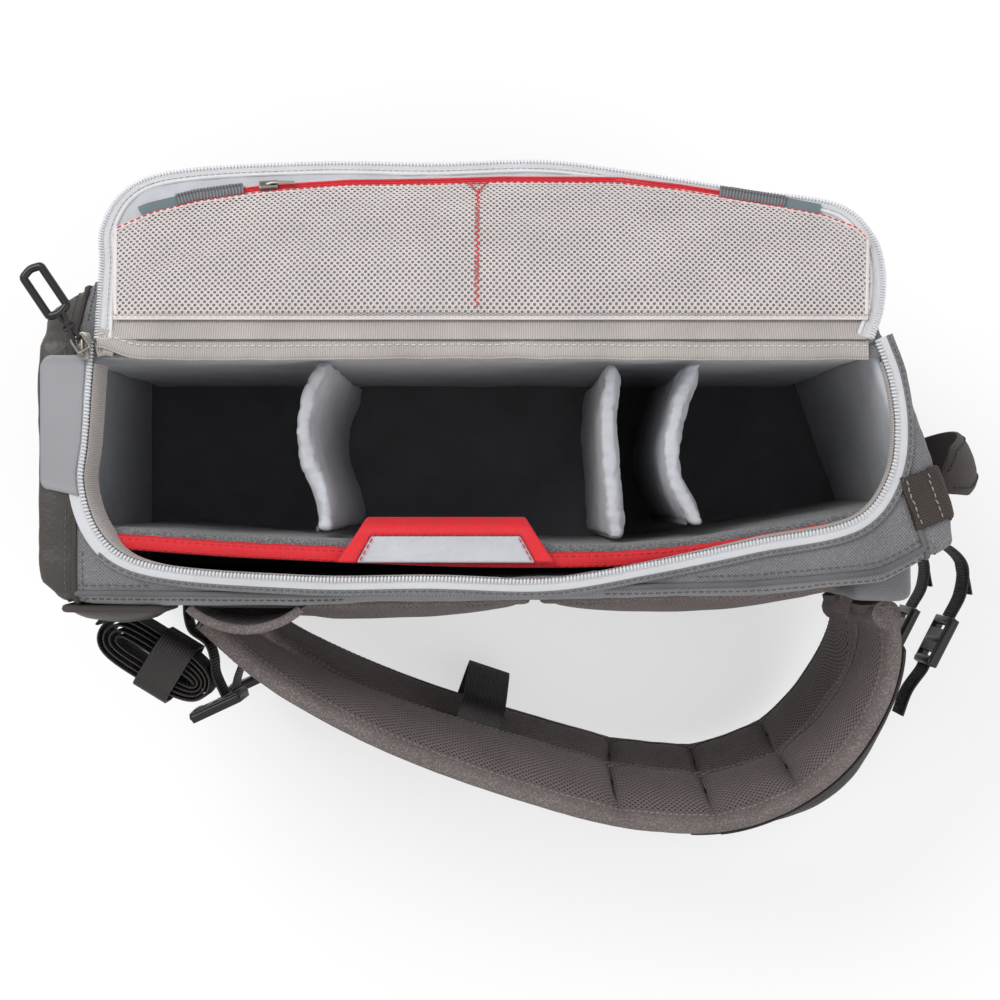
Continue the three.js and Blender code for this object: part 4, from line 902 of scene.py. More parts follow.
def chains_of(edges):
    """Edges joined into lines of vertices, in the same order each time."""
    left = dict.fromkeys(edges)
    lines = []
    while left:
        edge = next(iter(left))
        del left[edge]
        line = [edge.verts[0], edge.verts[1]]
        for end in (0, -1):
            while True:
                here = line[end]
                following = [e for e in here.link_edges if e in left]
                if len(following) != 1:
                    break
                del left[following[0]]
                other = following[0].other_vert(here)
                line = [other] + line if end == 0 else line + [other]
        lines.append(line)
    return lines


def make_shell():
    work = cut_opening(block)
    planes = [((BASE_SEAM_X, 0, 0), (1, 0, 0)), ((0, FRONT_SEAM_Y, 0), (0, 1, 0)),
              ((0, 0, WIDTH / 2), (0, 0, 1))]
    for i, reach in ((TOP_EDGE, TOP_REACH), *((i, BACK_REACH) for i in BACK_EDGES)):
        (ax, ay), (bx, by) = PROFILE[i], PROFILE[i + 1]
        outward = Vector((by - ay, ax - bx, 0)).normalized()
        planes.append(((ax - outward.x * reach, ay - outward.y * reach, 0), tuple(outward)))
    for point, normal in planes:
        bmesh.ops.bisect_plane(work, geom=work.verts[:] + work.edges[:] + work.faces[:], dist=2e-5,
                               plane_co=Vector(point) * MM, plane_no=Vector(normal))
    bmesh.ops.triangulate(work, faces=[f for f in work.faces if len(f.verts) > 4])
    kinds = {f: panel_at(*(f.calc_center_median() / MM)) for f in work.faces}
    seams = {}
    for edge in work.edges:
        if len(edge.link_faces) == 2:
            pair = tuple(sorted({kinds[f] for f in edge.link_faces}))
            if len(pair) == 2 and pair != ("left_side", "right_side"):
                seams.setdefault(pair, []).append(edge)
    lines = {pair: [np.array([v.co for v in line]) / MM for line in chains_of(edges)]
             for pair, edges in seams.items()}
    for kind, material in (("base", tarpaulin), ("top", twill), ("back", pale_twill), ("front", twill),
                           ("left_side", twill), ("right_side", twill)):
        part = work.copy()
        part.faces.ensure_lookup_table()
        others = [part.faces[i] for i, f in enumerate(work.faces) if kinds[f] != kind]
        bmesh.ops.delete(part, geom=others, context="FACES")
        obj = object_of(part, kind + "_panel_cloth")
        obj.data.materials.append(material)
        modify(obj, "SOLIDIFY", thickness=1.8 * MM, offset=-1, use_even_offset=False)
        dressed(obj, sharp=60)
        rim = ["back_rim_strip", "back_rim_corner"] if kind == "left_side" else []
        attach(obj, "bag", [kind + "_panel", *rim])
    work.free()
    bpy.data.objects.remove(block)
    return lines


def smooth_line(line, spacing):
    route = Route([tuple(p) for p in line], straight=True)
    points = route.points(max(int(route.length / spacing), 2))
    for _ in range(3):
        points[1:-1] = (points[:-2] + 2 * points[1:-1] + points[2:]) / 4
    return points


def clear_of_zip(places, gap):
    """The parts of a row of (place, outward direction) that lie clear of the zip round the opening."""
    parts, part = [], []
    for place in places:
        if place[0][2] < 235 or min(np.linalg.norm(zip_line - place[0][:2], axis=1)) > gap:
            part.append(place)
        elif part:
            parts.append(part)
            part = []
    return [kept for kept in parts + [part] if len(kept) > 5]


def sew_seams(lines):
    """Piping on the corner seams and a row of stitches beside each."""
    pipes = {grey_piping: [], strap_back: []}
    for pair, runs in sorted(lines.items()):
        thread = strap_thread if pair == ("left_side", "top") else grey_thread
        piped = pair not in (("front", "left_side"), ("front", "right_side"))
        for line in [run for run in runs if len(run) > 5]:
            seated = [on_skin(p, 0.5) for p in smooth_line(line, 4)]
            if piped:
                for part in clear_of_zip(seated, 8):
                    material = strap_back if "base" in pair else grey_piping
                    pipes[material].append(tube([s[0] for s in part], 1.5, 8))
            ways = np.gradient(np.array([s[0] for s in seated]), axis=0)
            for side in (-1, 1):
                row = [on_skin(p + side * 4.2 * unit(np.cross(o, w)), 0.1) for (p, o), w in zip(seated, ways)]
                for part in clear_of_zip(row, 11):
                    sew(thread, "bag", part, 3.4)
    make("shell_piping", "bag", grey_piping, pipes[grey_piping])
    make("base_piping", "bag", strap_back, pipes[strap_back])


# Padded lining, tablet divider, sleeve tab and movable dividers

def make_lining():
    # The floor pad takes the lining painted darker as painted shade
    for node_name, ending, material in (
            ("floor_pad", "_foam", floor_lining), ("base_pad", "_foam", lining), ("top_pad", "_foam", lining),
            ("front_wall_pad", "_foam", lining), ("back_pad", "_loop", loops)):
        soft_piece(node_name, node_name + ending, "bag", material, 3.5, 3, 0.5, (26, 0.7))
    soft_piece("tablet_divider", "tablet_divider_loop", "bag", loops, 3.2, 4, 0.5, (40, 0.8))


TABLET = Route(on_plan([(-0.5, 0.24), (-0.45, 0.265), (-0.27, 0.232), (0, 0.197), (0.18, 0.212),
                        (0.375, 0.315), (0.5, 0.4)]))


def make_tablet_binding():
    (x0, _, _), (x1, _, _) = box_mm("tablet_binding")
    line = [p for p in TABLET.points(120) if x0 + 1 < p[0] < x1 - 1]
    tape = flat_strip(line, -6.6, 0.4, 3.0, 236.9, 0.6)
    fold = flat_strip(line, 0.35, 0.9, 3.4, 233.5)
    make("tablet_binding_tape", "bag", red_tape, [tape, fold], ["tablet_binding"])
    for offset in (-0.9, -5.4):
        lay_on_sheet("stitch", red_thread, "bag", line, offset, 240.2, 3.6, lambda x, y, h: (x, y, h))


(_, TAB_BACK, TAB_LOW), (_, TAB_FACE, TAB_HIGH) = box_mm("sleeve_tab_binding")
TAB_MIDDLE, TAB_ROWS, TAB_COLUMNS = -26.0, 40, 44
TAB_LINE = Route([(TAB_FACE - 9, TAB_LOW), (TAB_FACE - 5, (TAB_LOW + TAB_HIGH) / 2 - 1),
                  (TAB_FACE - 1, TAB_HIGH - 10), (TAB_FACE - 5, TAB_HIGH - 2.6),
                  (TAB_FACE - 14, TAB_HIGH - 1.4), (TAB_BACK + 0.8, TAB_HIGH - 0.8)])


def tab_half(y):
    """Half of the retaining tab's length: 38 mm on the bay's side, 53 mm at its sewn back edge."""
    return 38 + 15 * min(max((TAB_FACE - y) / (TAB_FACE - TAB_BACK), 0), 1)


def make_sleeve_tab():
    points, faces = [], {"binding": [], "cloth": []}
    for i in range(TAB_ROWS + 1):
        y, z = TAB_LINE.at(i / TAB_ROWS)
        for j in range(TAB_COLUMNS + 1):
            u = j / TAB_COLUMNS * 2 - 1
            points.append((TAB_MIDDLE + u * tab_half(y), y, z + 0.5 * lumps(u * 40, y, z, 20)))
    for i in range(TAB_ROWS):
        y, z = TAB_LINE.at((i + 0.5) / TAB_ROWS)
        for j in range(TAB_COLUMNS):
            edge = min(j, TAB_COLUMNS - 1 - j) < 4 or y > TAB_FACE - 8.5 or z < TAB_HIGH - 13
            a = i * (TAB_COLUMNS + 1) + j
            faces["binding" if edge else "cloth"].append((a, a + 1, a + TAB_COLUMNS + 2, a + TAB_COLUMNS + 1))
    for part, thick, material, node_name, fill in (("binding", 3.0, red_tape, "sleeve_tab_binding", None),
                                                   ("cloth", 2.0, lining, "sleeve_tab", 0.3)):
        mesh = mesh_of("sleeve_tab_" + part, points, faces[part])
        with edited(mesh) as work:
            bmesh.ops.delete(work, geom=[v for v in work.verts if not v.link_faces], context="VERTS")
            bmesh.ops.recalc_face_normals(work, faces=work.faces)
        obj = added("sleeve_tab_" + part, mesh)
        mesh.materials.append(material)
        modify(obj, "SOLIDIFY", thickness=thick * MM, offset=0)
        modify(obj, "SUBSURF", levels=1, render_levels=1)
        dressed(obj)
        attach(obj, "sleeve_tab", [node_name], fill)
    row = []
    for (u0, v0), (u1, v1) in (((-0.79, 0.99), (-0.79, 0.74)), ((-0.79, 0.74), (0.79, 0.74)),
                               ((0.79, 0.74), (0.79, 0.99))):
        for s in np.linspace(0, 1, 20):
            u, v = u0 + (u1 - u0) * s, v0 + (v1 - v0) * s
            y, z = TAB_LINE.at(v)
            dy, dz = TAB_LINE.along(v)
            out = np.array([0, dz, -dy])
            row.append((np.array([TAB_MIDDLE + u * tab_half(y), y, z]) + out * 1.6, out))
    sew(red_thread, "sleeve_tab", row, 3.2)


def gathered(top):
    """Cloth gathered along a pad's upper edge: short creases that die out downwards."""
    def shape(point, normal):
        fade = math.exp(-max(top - point[2], 0) / 16)
        crease = (1 - abs(lumps(point[0] * 0.2, point[1], point[2] * 0.3, 5.5, 6.0))) ** 7
        return point - normal * 1.3 * fade * crease
    return shape


def make_dividers():
    for node_name in ("divider_left", "divider_middle", "divider_right"):
        (x0, y0, z0), (x1, _, z1) = box_mm(node_name)
        soft_piece(node_name, node_name + "_foam", node_name, lining, 3.0, 3, 0.7, (11, 0.9), 2.5, 1.2, 0.5,
                   finer=True, shape=gathered(z1))
        # A flat tongue of hook tape at the back edge, pressed on the loop fabric
        spots = [((x0 + x1) / 2, y0 + 2.0, z) for z in np.linspace(z0 + 12, z1 - 12, 30)]
        # Its grey is the darker lining of painted shade
        make(node_name + "_hook_edge", node_name, floor_lining, [tube(spots, 1.5, 8, flat=0.6)])


# Zip round the opening, rim tape, label patch, hinge binding

def make_rim_zip():
    line = [tuple(p) for p in zip_line]
    tape = flat_strip(line, -7.9, -0.6, 0.9, 0.25)
    make("rim_zip_tape", "bag", zip_tape, [tape], ["rim_zip"], place=on_rim)
    lay_on_sheet("coil_loop", coil, "bag", line, -1.5, 1.0, 1.7, on_rim, 0.12)
    # The shell's cloth, folded in over the tape's outer edge and stitched, as far as the base panel
    sewn = [p for p in line if p[0] > -188]
    make("rim_zip_fold", "bag", twill, [flat_strip(sewn, -9.2, -6.2, 1.2, 0.4, 0.3)], place=on_rim)
    lay_on_sheet("stitch", grey_thread, "bag", sewn, -7.4, 1.8, 3.2, on_rim)
    # Ribbed tape turned down inside the opening
    rings = []
    for (x, y), way in zip(line, np.gradient(np.array(line), axis=0)):
        if y > 67:
            continue
        dx, dy = unit(way)
        top = min(max(rim_height(x, y), 248.5), 250.6)
        hang = min(max((y + 33) / 16, 0.1), 1) * (1.25 if x < 0 else 0.35)
        ring = []
        for inset, drop in ((0.2, 0.2), (0.9, -0.4), (2.4, -5.5), (3.4, -10.5), (2.6, -10.8), (1.6, -5.6),
                            (0.1, -1.2)):
            ring.append((x - dy * inset * hang, y + dx * inset * hang, top + drop * hang))
        rings.append(ring)
    make("rim_lining_tape", "bag", beige_grosgrain, [loft(rings)])
    # The zip's end, folded under a short tape at the hinge
    x0, x1, y = zip_line[0][0] + 0.8, zip_line[0][0] + 9.6, HINGE_Y - 4.6
    line = [(x0 + (x1 - x0) * s, y + 0.8 * math.sin(3 * s)) for s in np.linspace(0, 1, 9)]
    folds = [flat_strip(line, -3.4, 3.4, 1.2, 0.3, 0.4), flat_strip(line[3:], -2.6, 2.6, 1.0, 1.3, 0.3)]
    make("zip_end_fold", "bag", beige_grosgrain, folds, place=on_rim)


def zip_x(y):
    """Where the zip runs on the base's side."""
    side = sorted((p[1], p[0]) for p in zip_line if p[0] < -150)
    return float(np.interp(y, [p[0] for p in side], [p[1] for p in side]))


def make_label_patch():
    """A rubber patch between the base's edge and the zip, its inner edge laid over the zip's tape."""
    (x0, y0, _), (_, y1, _) = box_mm("label_patch")
    x0 -= 1.0
    corners = [(x0 + 5 - 5 * math.sin(a), y0 + 5 - 5 * math.cos(a)) for a in np.linspace(math.pi / 2, 0, 7)]
    corners += [(zip_x(y) - 3.6, y) for y in np.linspace(y0 - 3, y1 + 2, 14)]
    corners += [(x0 + 6 - 6 * math.sin(a), y1 - 4 + 6 * math.cos(a)) for a in np.linspace(0, math.pi / 2, 7)]
    middle = np.mean(corners, axis=0)
    rings = []
    for shrink, h in ((0, -0.8), (0, 0.7), (0.7, 1.15), (1.6, 1.2), (2.2, 0.95), (5.0, 1.0)):
        rings.append([(*(np.array(c) + unit(middle - np.array(c)) * shrink), h) for c in corners])
    make("label_patch_rubber", "bag", patch_rubber, [loft(rings)], ["label_patch"], place=patch_place)


def patch_place(x, y, h):
    """The patch bends down over the base's rounded edge and lies on the tape beside the zip."""
    spot, out = on_skin((x, y, 251.5))
    on_tape = min(max((x - zip_x(y) + 11.5) / 2.5, 0), 1)
    return tuple(spot + out * (h + 0.3 + 1.1 * on_tape))


def make_hinge_binding():
    (x0, _, _), (x1, _, _) = box_mm("hinge_binding")
    x0, x1 = x0 - 14, x1 + 5

    def curled(x):
        """How far the tape's free end has come loose."""
        return math.exp(-((x - x0) / 13) ** 2)

    def place(x, y, h):
        return x, y, 250.4 + h + 0.5 * lumps(x, y * 2, 0, 17, 0.7) + 1.2 * curled(x)

    line = []
    for s in np.linspace(0, 1, 110):
        x = x0 + (x1 - x0) * s
        wave = 0.5 * lumps(x, 0, 0, 14) - 0.4 * math.sin(3 * math.pi * s)
        line.append((x, 71.9 + 5.5 * curled(x) + wave))
    strip = flat_strip(line, -4.6, 4.2, 1.3, 0.1, 0.7)
    edge = flat_strip(line, -5.2, -4.2, 1.7, 0.2, 0.3)
    make("hinge_binding_tape", "bag", beige_grosgrain, [strip, edge], ["hinge_binding"], place=place)
    lay_on_sheet("stitch", pale_thread, "bag", line, 1.6, 2.2, 3.6, place)


# Main slider, its pull cord and ring

def make_slider():
    (x0, y0, z0), (x1, y1, _) = box_mm("main_slider")
    cx, cy, z = (x0 + x1) / 2, (y0 + y1) / 2, z0 + 0.2
    outline = [(-3.5, -3.4), (-3.1, -5.6), (0, -6.1), (3.1, -5.6), (3.5, -3.4), (2.4, 2.0), (2.6, 5.4),
               (0.9, 6.1), (-0.9, 6.1), (-2.6, 5.4), (-2.4, 2.0)]
    plates = []
    for bottom, thick, grow in ((z, 1.1, 0), (z + 2.2, 1.2, 0.3)):
        rings = []
        for h, inset in ((0, 0.5), (0.3, 0), (thick - 0.3, 0), (thick, 0.5)):
            scale = 1 + (grow - inset) / 4
            rings.append([(cx + px * scale, cy - py * scale, bottom + h) for px, py in outline])
        plates.append(loft(rings))
    bridge, core = [tube([(cx, cy + dy, z + dz) for dy, dz in line], radius, 8) for line, radius in (
        (((-4.4, 3.2), (-4.2, 4.6), (-2.6, 5.4), (2.4, 5.2), (4.0, 4.4), (4.3, 3.1)), 0.8),
        (((-5.4, 0.6), (-4.6, 1.6), (-5.2, 2.6)), 1.0))]
    make("main_slider_body", "main_slider", gunmetal, plates + [bridge, core], ["main_slider"])


def make_pull():
    turn = math.radians(124)
    start = np.array([-197.5, 73, 258.0])
    way, side = np.array([math.cos(turn), math.sin(turn), 0]), np.array([-math.sin(turn), math.cos(turn), 0])
    up = np.array([0, 0, 1.0])
    window = [start + way * x + side * y for x, y in ((-2.6, -3.2), (-2.6, 3.2), (4.6, 3.0), (4.6, -3.0))]
    frame_line = []
    for i in range(4):
        for s in np.linspace(0.06, 0.94, 6):
            frame_line.append(window[i] * (1 - s) + window[(i + 1) % 4] * s)
    make("pull_window", "zip_pull", gunmetal, [tube(frame_line, 0.75, 8, closed=True)])
    strands = []
    for sign in (-1, 1):
        line = []
        for s in np.linspace(0, 1, 22):
            swing = math.cos(s * math.pi * 1.2) * 1.35 * sign
            line.append(start + way * (3.6 + 16.6 * s) + side * swing + up * (0.5 * math.sin(s * math.pi)
                        + 0.5 * sign * math.sin(s * math.pi * 1.2)))
        strands.append(tube(line, 1.25, 10))
    knot = [start + way * (11 + 1.5 * math.cos(a)) + side * 2.3 * math.sin(a) + up * 1.3 * math.cos(2 * a)
            for a in np.arange(24) / 24 * 2 * math.pi]
    strands.append(tube(knot, 1.1, 10, closed=True))
    make("pull_cord_braid", "zip_pull", braid, strands, ["pull_cord"])
    centre = start + way * (17.3 + 13.5)
    line = []
    for k in range(64):
        angle = k / 64 * 2 * math.pi
        straight = 8.4 * math.tanh(3 * math.cos(angle)) / math.tanh(3)
        x, y = straight + 4.4 * math.cos(angle) * 0.9, 5.0 * math.sin(angle) / max(abs(math.sin(angle)), 0.62)
        line.append(centre + way * x + side * (5.0 * math.sin(angle) if abs(math.sin(angle)) < 0.62 else y))
    line = np.array(line)
    for _ in range(3):
        line = (np.roll(line, 1, axis=0) + 2 * line + np.roll(line, -1, axis=0)) / 4
    make("pull_ring_moulded", "zip_pull", ring_gloss, [tube(line, 2.0, 12, closed=True)], ["pull_ring"])


# Side flap, in its own sheet space: X along the hinge, Y away from it, height from its inner face

def flap_world(x, y, z):
    """From the flap's own frame to the open flap, with a slight wave in its cloth."""
    z = z + 1.1 * lumps(x, y, 0, 75, 0.9) * min(1, max(0, (-y - 8) / 25))
    angle = math.radians(-OPEN_ANGLE)
    return (x, HINGE_Y + y * math.cos(angle) - z * math.sin(angle),
            HINGE_Z + y * math.sin(angle) + z * math.cos(angle))


def on_flap(x, y, h):
    return flap_world(x, y, -h)


flap_line = [(x, y - HINGE_Y) for x, y in zip_line]

POCKET_TOP = [(-0.4318, .52), (-0.391, .598), (-0.341, .654), (-0.273, .697), (-0.17, .732), (0, .748),
              (.136, .744), (.205, .709), (.261, .669), (.318, .626), (.364, .583), (.4, .52), (.4114, .457)]


def pocket_top(x):
    shares, depths = zip(*POCKET_TOP)
    return -ZIP_DEPTH * float(np.interp(x / LENGTH, shares, depths))


def pocket_rise(x, y):
    """How far the net stands off the flap."""
    top = pocket_top(x)
    u, v = (x + 190) / 371, (y + 13) / (top + 13)
    fold = 1.4 * math.exp(-((u - 0.06) / 0.05) ** 2) * math.sin(v * 9)
    fold += 2.2 * lumps(x + y, y * 1.6, 0, 30, 2.2)
    return max(0.3, 1.2 + (7.6 + fold) * full(u) * full(v))


def on_net(x, y, h):
    return on_flap(x, y, pocket_rise(x, y) + h)


def beside(offset):
    """The flap's zip line, moved towards its middle."""
    ways = np.gradient(np.array(flap_line), axis=0)
    return [(x - unit(w)[1] * offset, y + unit(w)[0] * offset) for (x, y), w in zip(flap_line, ways)]


def make_flap():
    outline = [p for p in beside(5.0) if p[1] <= -12.0]
    outline = [(outline[0][0], -12.0), *outline, (outline[-1][0], -12.0)]
    obj = object_of(prism(outline, 0, 4), "flap_panel_cloth")
    modify(obj, "REMESH", mode="VOXEL", voxel_size=2.0 * MM)
    modify(obj, "SMOOTH", factor=0.5, iterations=3)
    points, normals = coordinates(obj.data), normals_of(obj.data)
    for i, (p, n) in enumerate(zip(points.copy(), normals)):
        points[i] = p + n * 0.5 * lumps(p[0], p[1] * 1.5, p[2], 13, 5.0)
    facing = normals[:, 2].copy()
    set_coordinates(obj.data, [flap_world(*p) for p in points])
    box_uv(obj.data)
    for material in (twill, lining, painted_shade_lining):
        obj.data.materials.append(material)
    # Inner faces behind the net get the darker lining of painted shade, the other inner faces the plain lining
    for polygon in obj.data.polygons:
        if np.mean([facing[v] for v in polygon.vertices]) < -0.5:
            x, y = np.mean([points[v][:2] for v in polygon.vertices], axis=0)
            behind_net_shaded = y > pocket_top(x) + 4 and y < -15 and -184 < x < 176
            polygon.material_index = 2 if behind_net_shaded else 1
    obj.data.shade_smooth()
    attach(obj, "flap", ["flap_panel"])
    # Hinge tape, zip tape with its coil, and the piping where the flap's outer cloth is turned
    x0, x1 = flap_line[0][0] + 3, flap_line[-1][0] - 4
    hinge = [(x0 + (x1 - x0) * s, -9) for s in np.linspace(0, 1, 60)]
    make("flap_hinge_tape", "flap", beige_grosgrain, [flat_strip(hinge, -8.0, 8.2, 1.1, -1.2)], place=on_flap)
    make("flap_hinge_facing", "flap", twill, [flat_strip(hinge, -8.2, 8.5, 1.2, -2.6, -0.4)], place=on_flap)
    tape = flat_strip(flap_line, 1.4, 8.0, 0.9, -0.9)
    make("flap_zip_tape", "flap", zip_tape, [tape], ["flap_zip"], place=on_flap)
    lay_on_sheet("coil_loop", coil, "flap", flap_line, 1.9, -0.1, 1.7, on_flap, 0.12)
    lay_on_sheet("stitch", pale_thread, "flap", flap_line, 5.9, 0.2, 3.2, on_flap)
    for name, material, offset, height, radius in (("flap_piping", pale_twill, 2.6, -2.4, 1.7),
                                                   ("flap_inner_cord", coil, 8.2, 0.3, 1.0)):
        cord = tube([(x, y, height) for x, y in beside(offset)], radius, 8)
        make(name, "flap", material, [cord], place=on_flap)


def make_net_pocket():
    # Net cells on a staggered grid of 3.0 by 1.7 mm, as counted in the photograph
    points, alongs, outs = [], [], []
    row, y = 0, -12.2
    while y > -97:
        for x in np.arange(-189 + (row % 2) * 1.5, 181, 3.0):
            top = pocket_top(x)
            side = 0.97 + 0.03 * max((y + 13) / (top + 13), 0)
            if y < top + 0.8 or not -189.5 * side < x < 180.5 * side:
                continue
            here, right, left, above, below = [np.array(on_net(x + dx, y + dy, 1.0)) for dx, dy in (
                (0, 0), (1, 0), (-1, 0), (0, 1), (0, -1))]
            along, up = right - left, above - below
            points.append(here)
            alongs.append(unit(along))
            outs.append(unit(np.cross(up, along)))
        row, y = row + 1, y - 1.7
    lay("net_cell", net_thread, "flap", points, alongs, outs)
    # The net's hems: turned edge along the zip, down both sides and along the hinge
    top = [(x, pocket_top(x)) for x in np.linspace(-189, 180, 150)]
    sides = [[(x * (0.97 + 0.03 * s), -13 + (pocket_top(x) + 13) * s) for s in np.linspace(0, 1, 24)]
             for x in (-189.5, 180.5)]
    base = [(x, -11.2) for x in np.linspace(-184, 175, 120)]
    hems = [flat_strip(top, -0.6, 2.0, 0.9, 0.6, 0.3), flat_strip(sides[0], -0.3, 1.4, 0.9, 0.5, 0.3),
            flat_strip(sides[1], -1.4, 0.3, 0.9, 0.5, 0.3), flat_strip(base, -1.2, 0.8, 0.8, 0.4, 0.3)]
    make("net_hem", "flap", net_thread, hems, ["mesh_pocket"], place=on_net)
    lay_on_sheet("stitch", red_thread, "flap", top, 1.0, 1.9, 3.4, on_net)
    lay_on_sheet("stitch", pale_thread, "flap", base, -0.2, 1.6, 3.4, on_net)
    # A red zigzag seam that parts the pocket in two, with a small triangle at its top
    seam_x = -11.0
    steps = np.arange(-15, pocket_top(seam_x) + 6, -1.9)
    zigzag = [(seam_x + (0.9 if k % 2 else -0.9), y) for k, y in enumerate(steps)]
    lay_on_sheet("stitch", red_thread, "flap", zigzag, 0, 1.5, 2.1, on_net)
    tip = pocket_top(seam_x) + 1.5
    triangle = [(seam_x, tip + 8), (seam_x - 4.2, tip), (seam_x + 4.2, tip), (seam_x, tip + 8)]
    lay_on_sheet("stitch", red_thread, "flap", triangle, 0, 1.7, 1.6, on_net)


def zip_edge(x0, x1, count=60):
    return [(x, pocket_top(x) - 1.2) for x in np.linspace(x0, x1, count)]


def make_pocket_zip():
    x0, x1 = -0.298 * LENGTH, 0.2557 * LENGTH
    line = zip_edge(x0, x1, 120)
    tapes = [flat_strip(line, low, low + 1.45, 1.0, 0.3, 0.4) for low in (-4.7, -2.95)]
    make("pocket_zip_tape", "flap", red_tape, tapes, ["pocket_zip"], place=on_flap)
    sides = [flat_strip(line, low, high, 0.8, 0.1, 0.3) for low, high in ((-6.4, -4.3), (-1.9, 0.8))]
    make("pocket_zip_facing", "flap", lining, sides, place=on_flap)
    for offset, turn in ((-2.4, 0.15), (-3.8, -0.15)):
        lay_on_sheet("fine_loop", red_coil, "flap", line, offset, 1.2, 1.1, on_flap, turn)
    # Slider on the red zip
    sx = -0.272 * LENGTH
    runner = zip_edge(sx, sx + 9, 14)
    body = flat_strip(runner, -5.6, -0.6, 1.5, 2.2, 0.5)
    x, y = runner[7]
    tongue = tube([(x - 1.5, y - 3, 3.9), (x + 1.5, y - 3.2, 5.0), (x + 5.5, y - 3.1, 5.2),
                   (x + 12.5, y - 3.6, 4.4)], 0.9, 8, flat=0.6)
    make("pocket_slider_body", "pocket_slider", gunmetal, [body, tongue], ["pocket_slider"], place=on_flap)
    # Folded ribbed tabs and their slate corner pieces
    for node_name, end, way in (("first_pocket_tab", x0, -1), ("second_pocket_tab", x1, 1)):
        def piece(near, far, count):
            """The zip's line over the tab, between two distances from the zip's end."""
            return zip_edge(*sorted((end + way * near, end + way * far)), count)

        fold = piece(-3.8, 28.2, 30)
        lower = flat_strip(piece(1.2, 28.2, 30), -8.3, 0.4, 1.1, 0.5, 0.3)
        upper = flat_strip(fold, -5.0, 0.2, 1.0, 2.0, 0.6)
        lip = flat_strip(fold, -6.4, -4.8, 1.8, 1.4, 0.5)
        make(node_name + "_grosgrain", "flap", grey_grosgrain, [lower, upper, lip], [node_name], place=on_flap)
        corner = flat_strip(piece(25.2, 45.2, 20), -7.0, 0.4, 1.2, 0.4, 0.4)
        make(node_name + "_corner", "flap", slate_tape, [corner], place=on_flap)


# Back pads, yoke, hip wings and front pocket

def back_face(x):
    xs, ys = zip(*PROFILE[1:7])
    return float(np.interp(x, xs, ys))


def rounded_loop(x0, x1, z0, z1, radius, count=10):
    loop = []
    for cx, cz, quarter in ((x0 + radius, z0 + radius, 2), (x1 - radius, z0 + radius, 3),
                            (x1 - radius, z1 - radius, 0), (x0 + radius, z1 - radius, 1)):
        for step in range(count):
            angle = (quarter + step / count) * math.pi / 2
            loop.append((cx + radius * math.cos(angle), cz + radius * math.sin(angle)))
    return loop


def densify(loop, spacing):
    route = Route([*loop, loop[0]], straight=True)
    return route.points(int(route.length / spacing))[:-1]


def bind(name, material, edges, corner, spacing, height, radius):
    """A round binding along a pad's outline; height gives its Y at each x."""
    loop = [(x, height(x), z) for x, z in densify(rounded_loop(*edges, corner), spacing)]
    make(name, "bag", material, [tube(loop, radius, 8, closed=True)])


def make_back_pads():
    held = lambda p: p[1] > back_face(p[0]) - 2.2
    for node_name, x0, x1 in (("upper_back_pad", 22, 169.4), ("lumbar_pad", -136.4, 13.2)):
        soft_piece(node_name, node_name + "_knit", "bag", air_mesh, 4.0, 4, 0.75, (22, 0.5), 2.5, 2.5, -1.3,
                   held, finer=True)
        bind(node_name + "_binding", edge_tape, (x0, x1, 50, 200), 6, 4, lambda x: back_face(x) - 1.9, 2.1)
    for node_name, z0 in (("left_hip_wing", 199), ("right_hip_wing", 9)):
        soft_piece(node_name, node_name + "_tarp", "bag", tarpaulin, 3.2, 4, 0.7, (14, 0.6), 2.0, 2.0, 0.3,
                   held, finer=True)
        bind(node_name + "_binding", strap_back, (-209.9, -162.8, z0, z0 + 42), 4, 3,
             lambda x: back_face(x) - 2.2, 1.9)

    def lifted(p, n):
        """The pocket's face keeps a least height inside its piping."""
        inside = -177 < p[0] < 133 and 57 < p[2] < 193
        return np.array([p[0], max(p[1], 114.8), p[2]]) if inside and n[1] > 0.2 else p

    soft_piece("front_pocket", "front_pocket_twill", "bag", pale_twill, 3.6, 3, 0.6, (30, 0.9), 2.5, 3.0, -1.7,
               lambda p: p[1] < 113.2, finer=True, shape=lifted)
    bind("front_pocket_piping", grey_piping, (-177.5, 133.5, 56.5, 193.5), 9, 4, lambda x: 113.8, 2.2)
    zip_at = 136.5
    points = [(zip_at, 114.6, z) for z in np.linspace(62, 188, 60)]
    make("front_zip_tape", "bag", strap_back, [tube(points, 3.2, 8, flat=0.35)])
    lay_on_line("coil_loop", black_coil, "bag", points, [(0, 1, 0)] * 60, 1.5)
    puller = tube([(zip_at, 116.4, 64), (zip_at + 1, 117.6, 68), (zip_at + 3, 116.8, 82)], 1.2, 8, flat=0.6)
    make("front_zip_slider", "bag", gunmetal, [puller])
    soft_piece("yoke", "yoke_twill", "bag", pale_twill, 3.0, 9, 0.7, (16, 0.8), shrink=-1.2, finer=True)


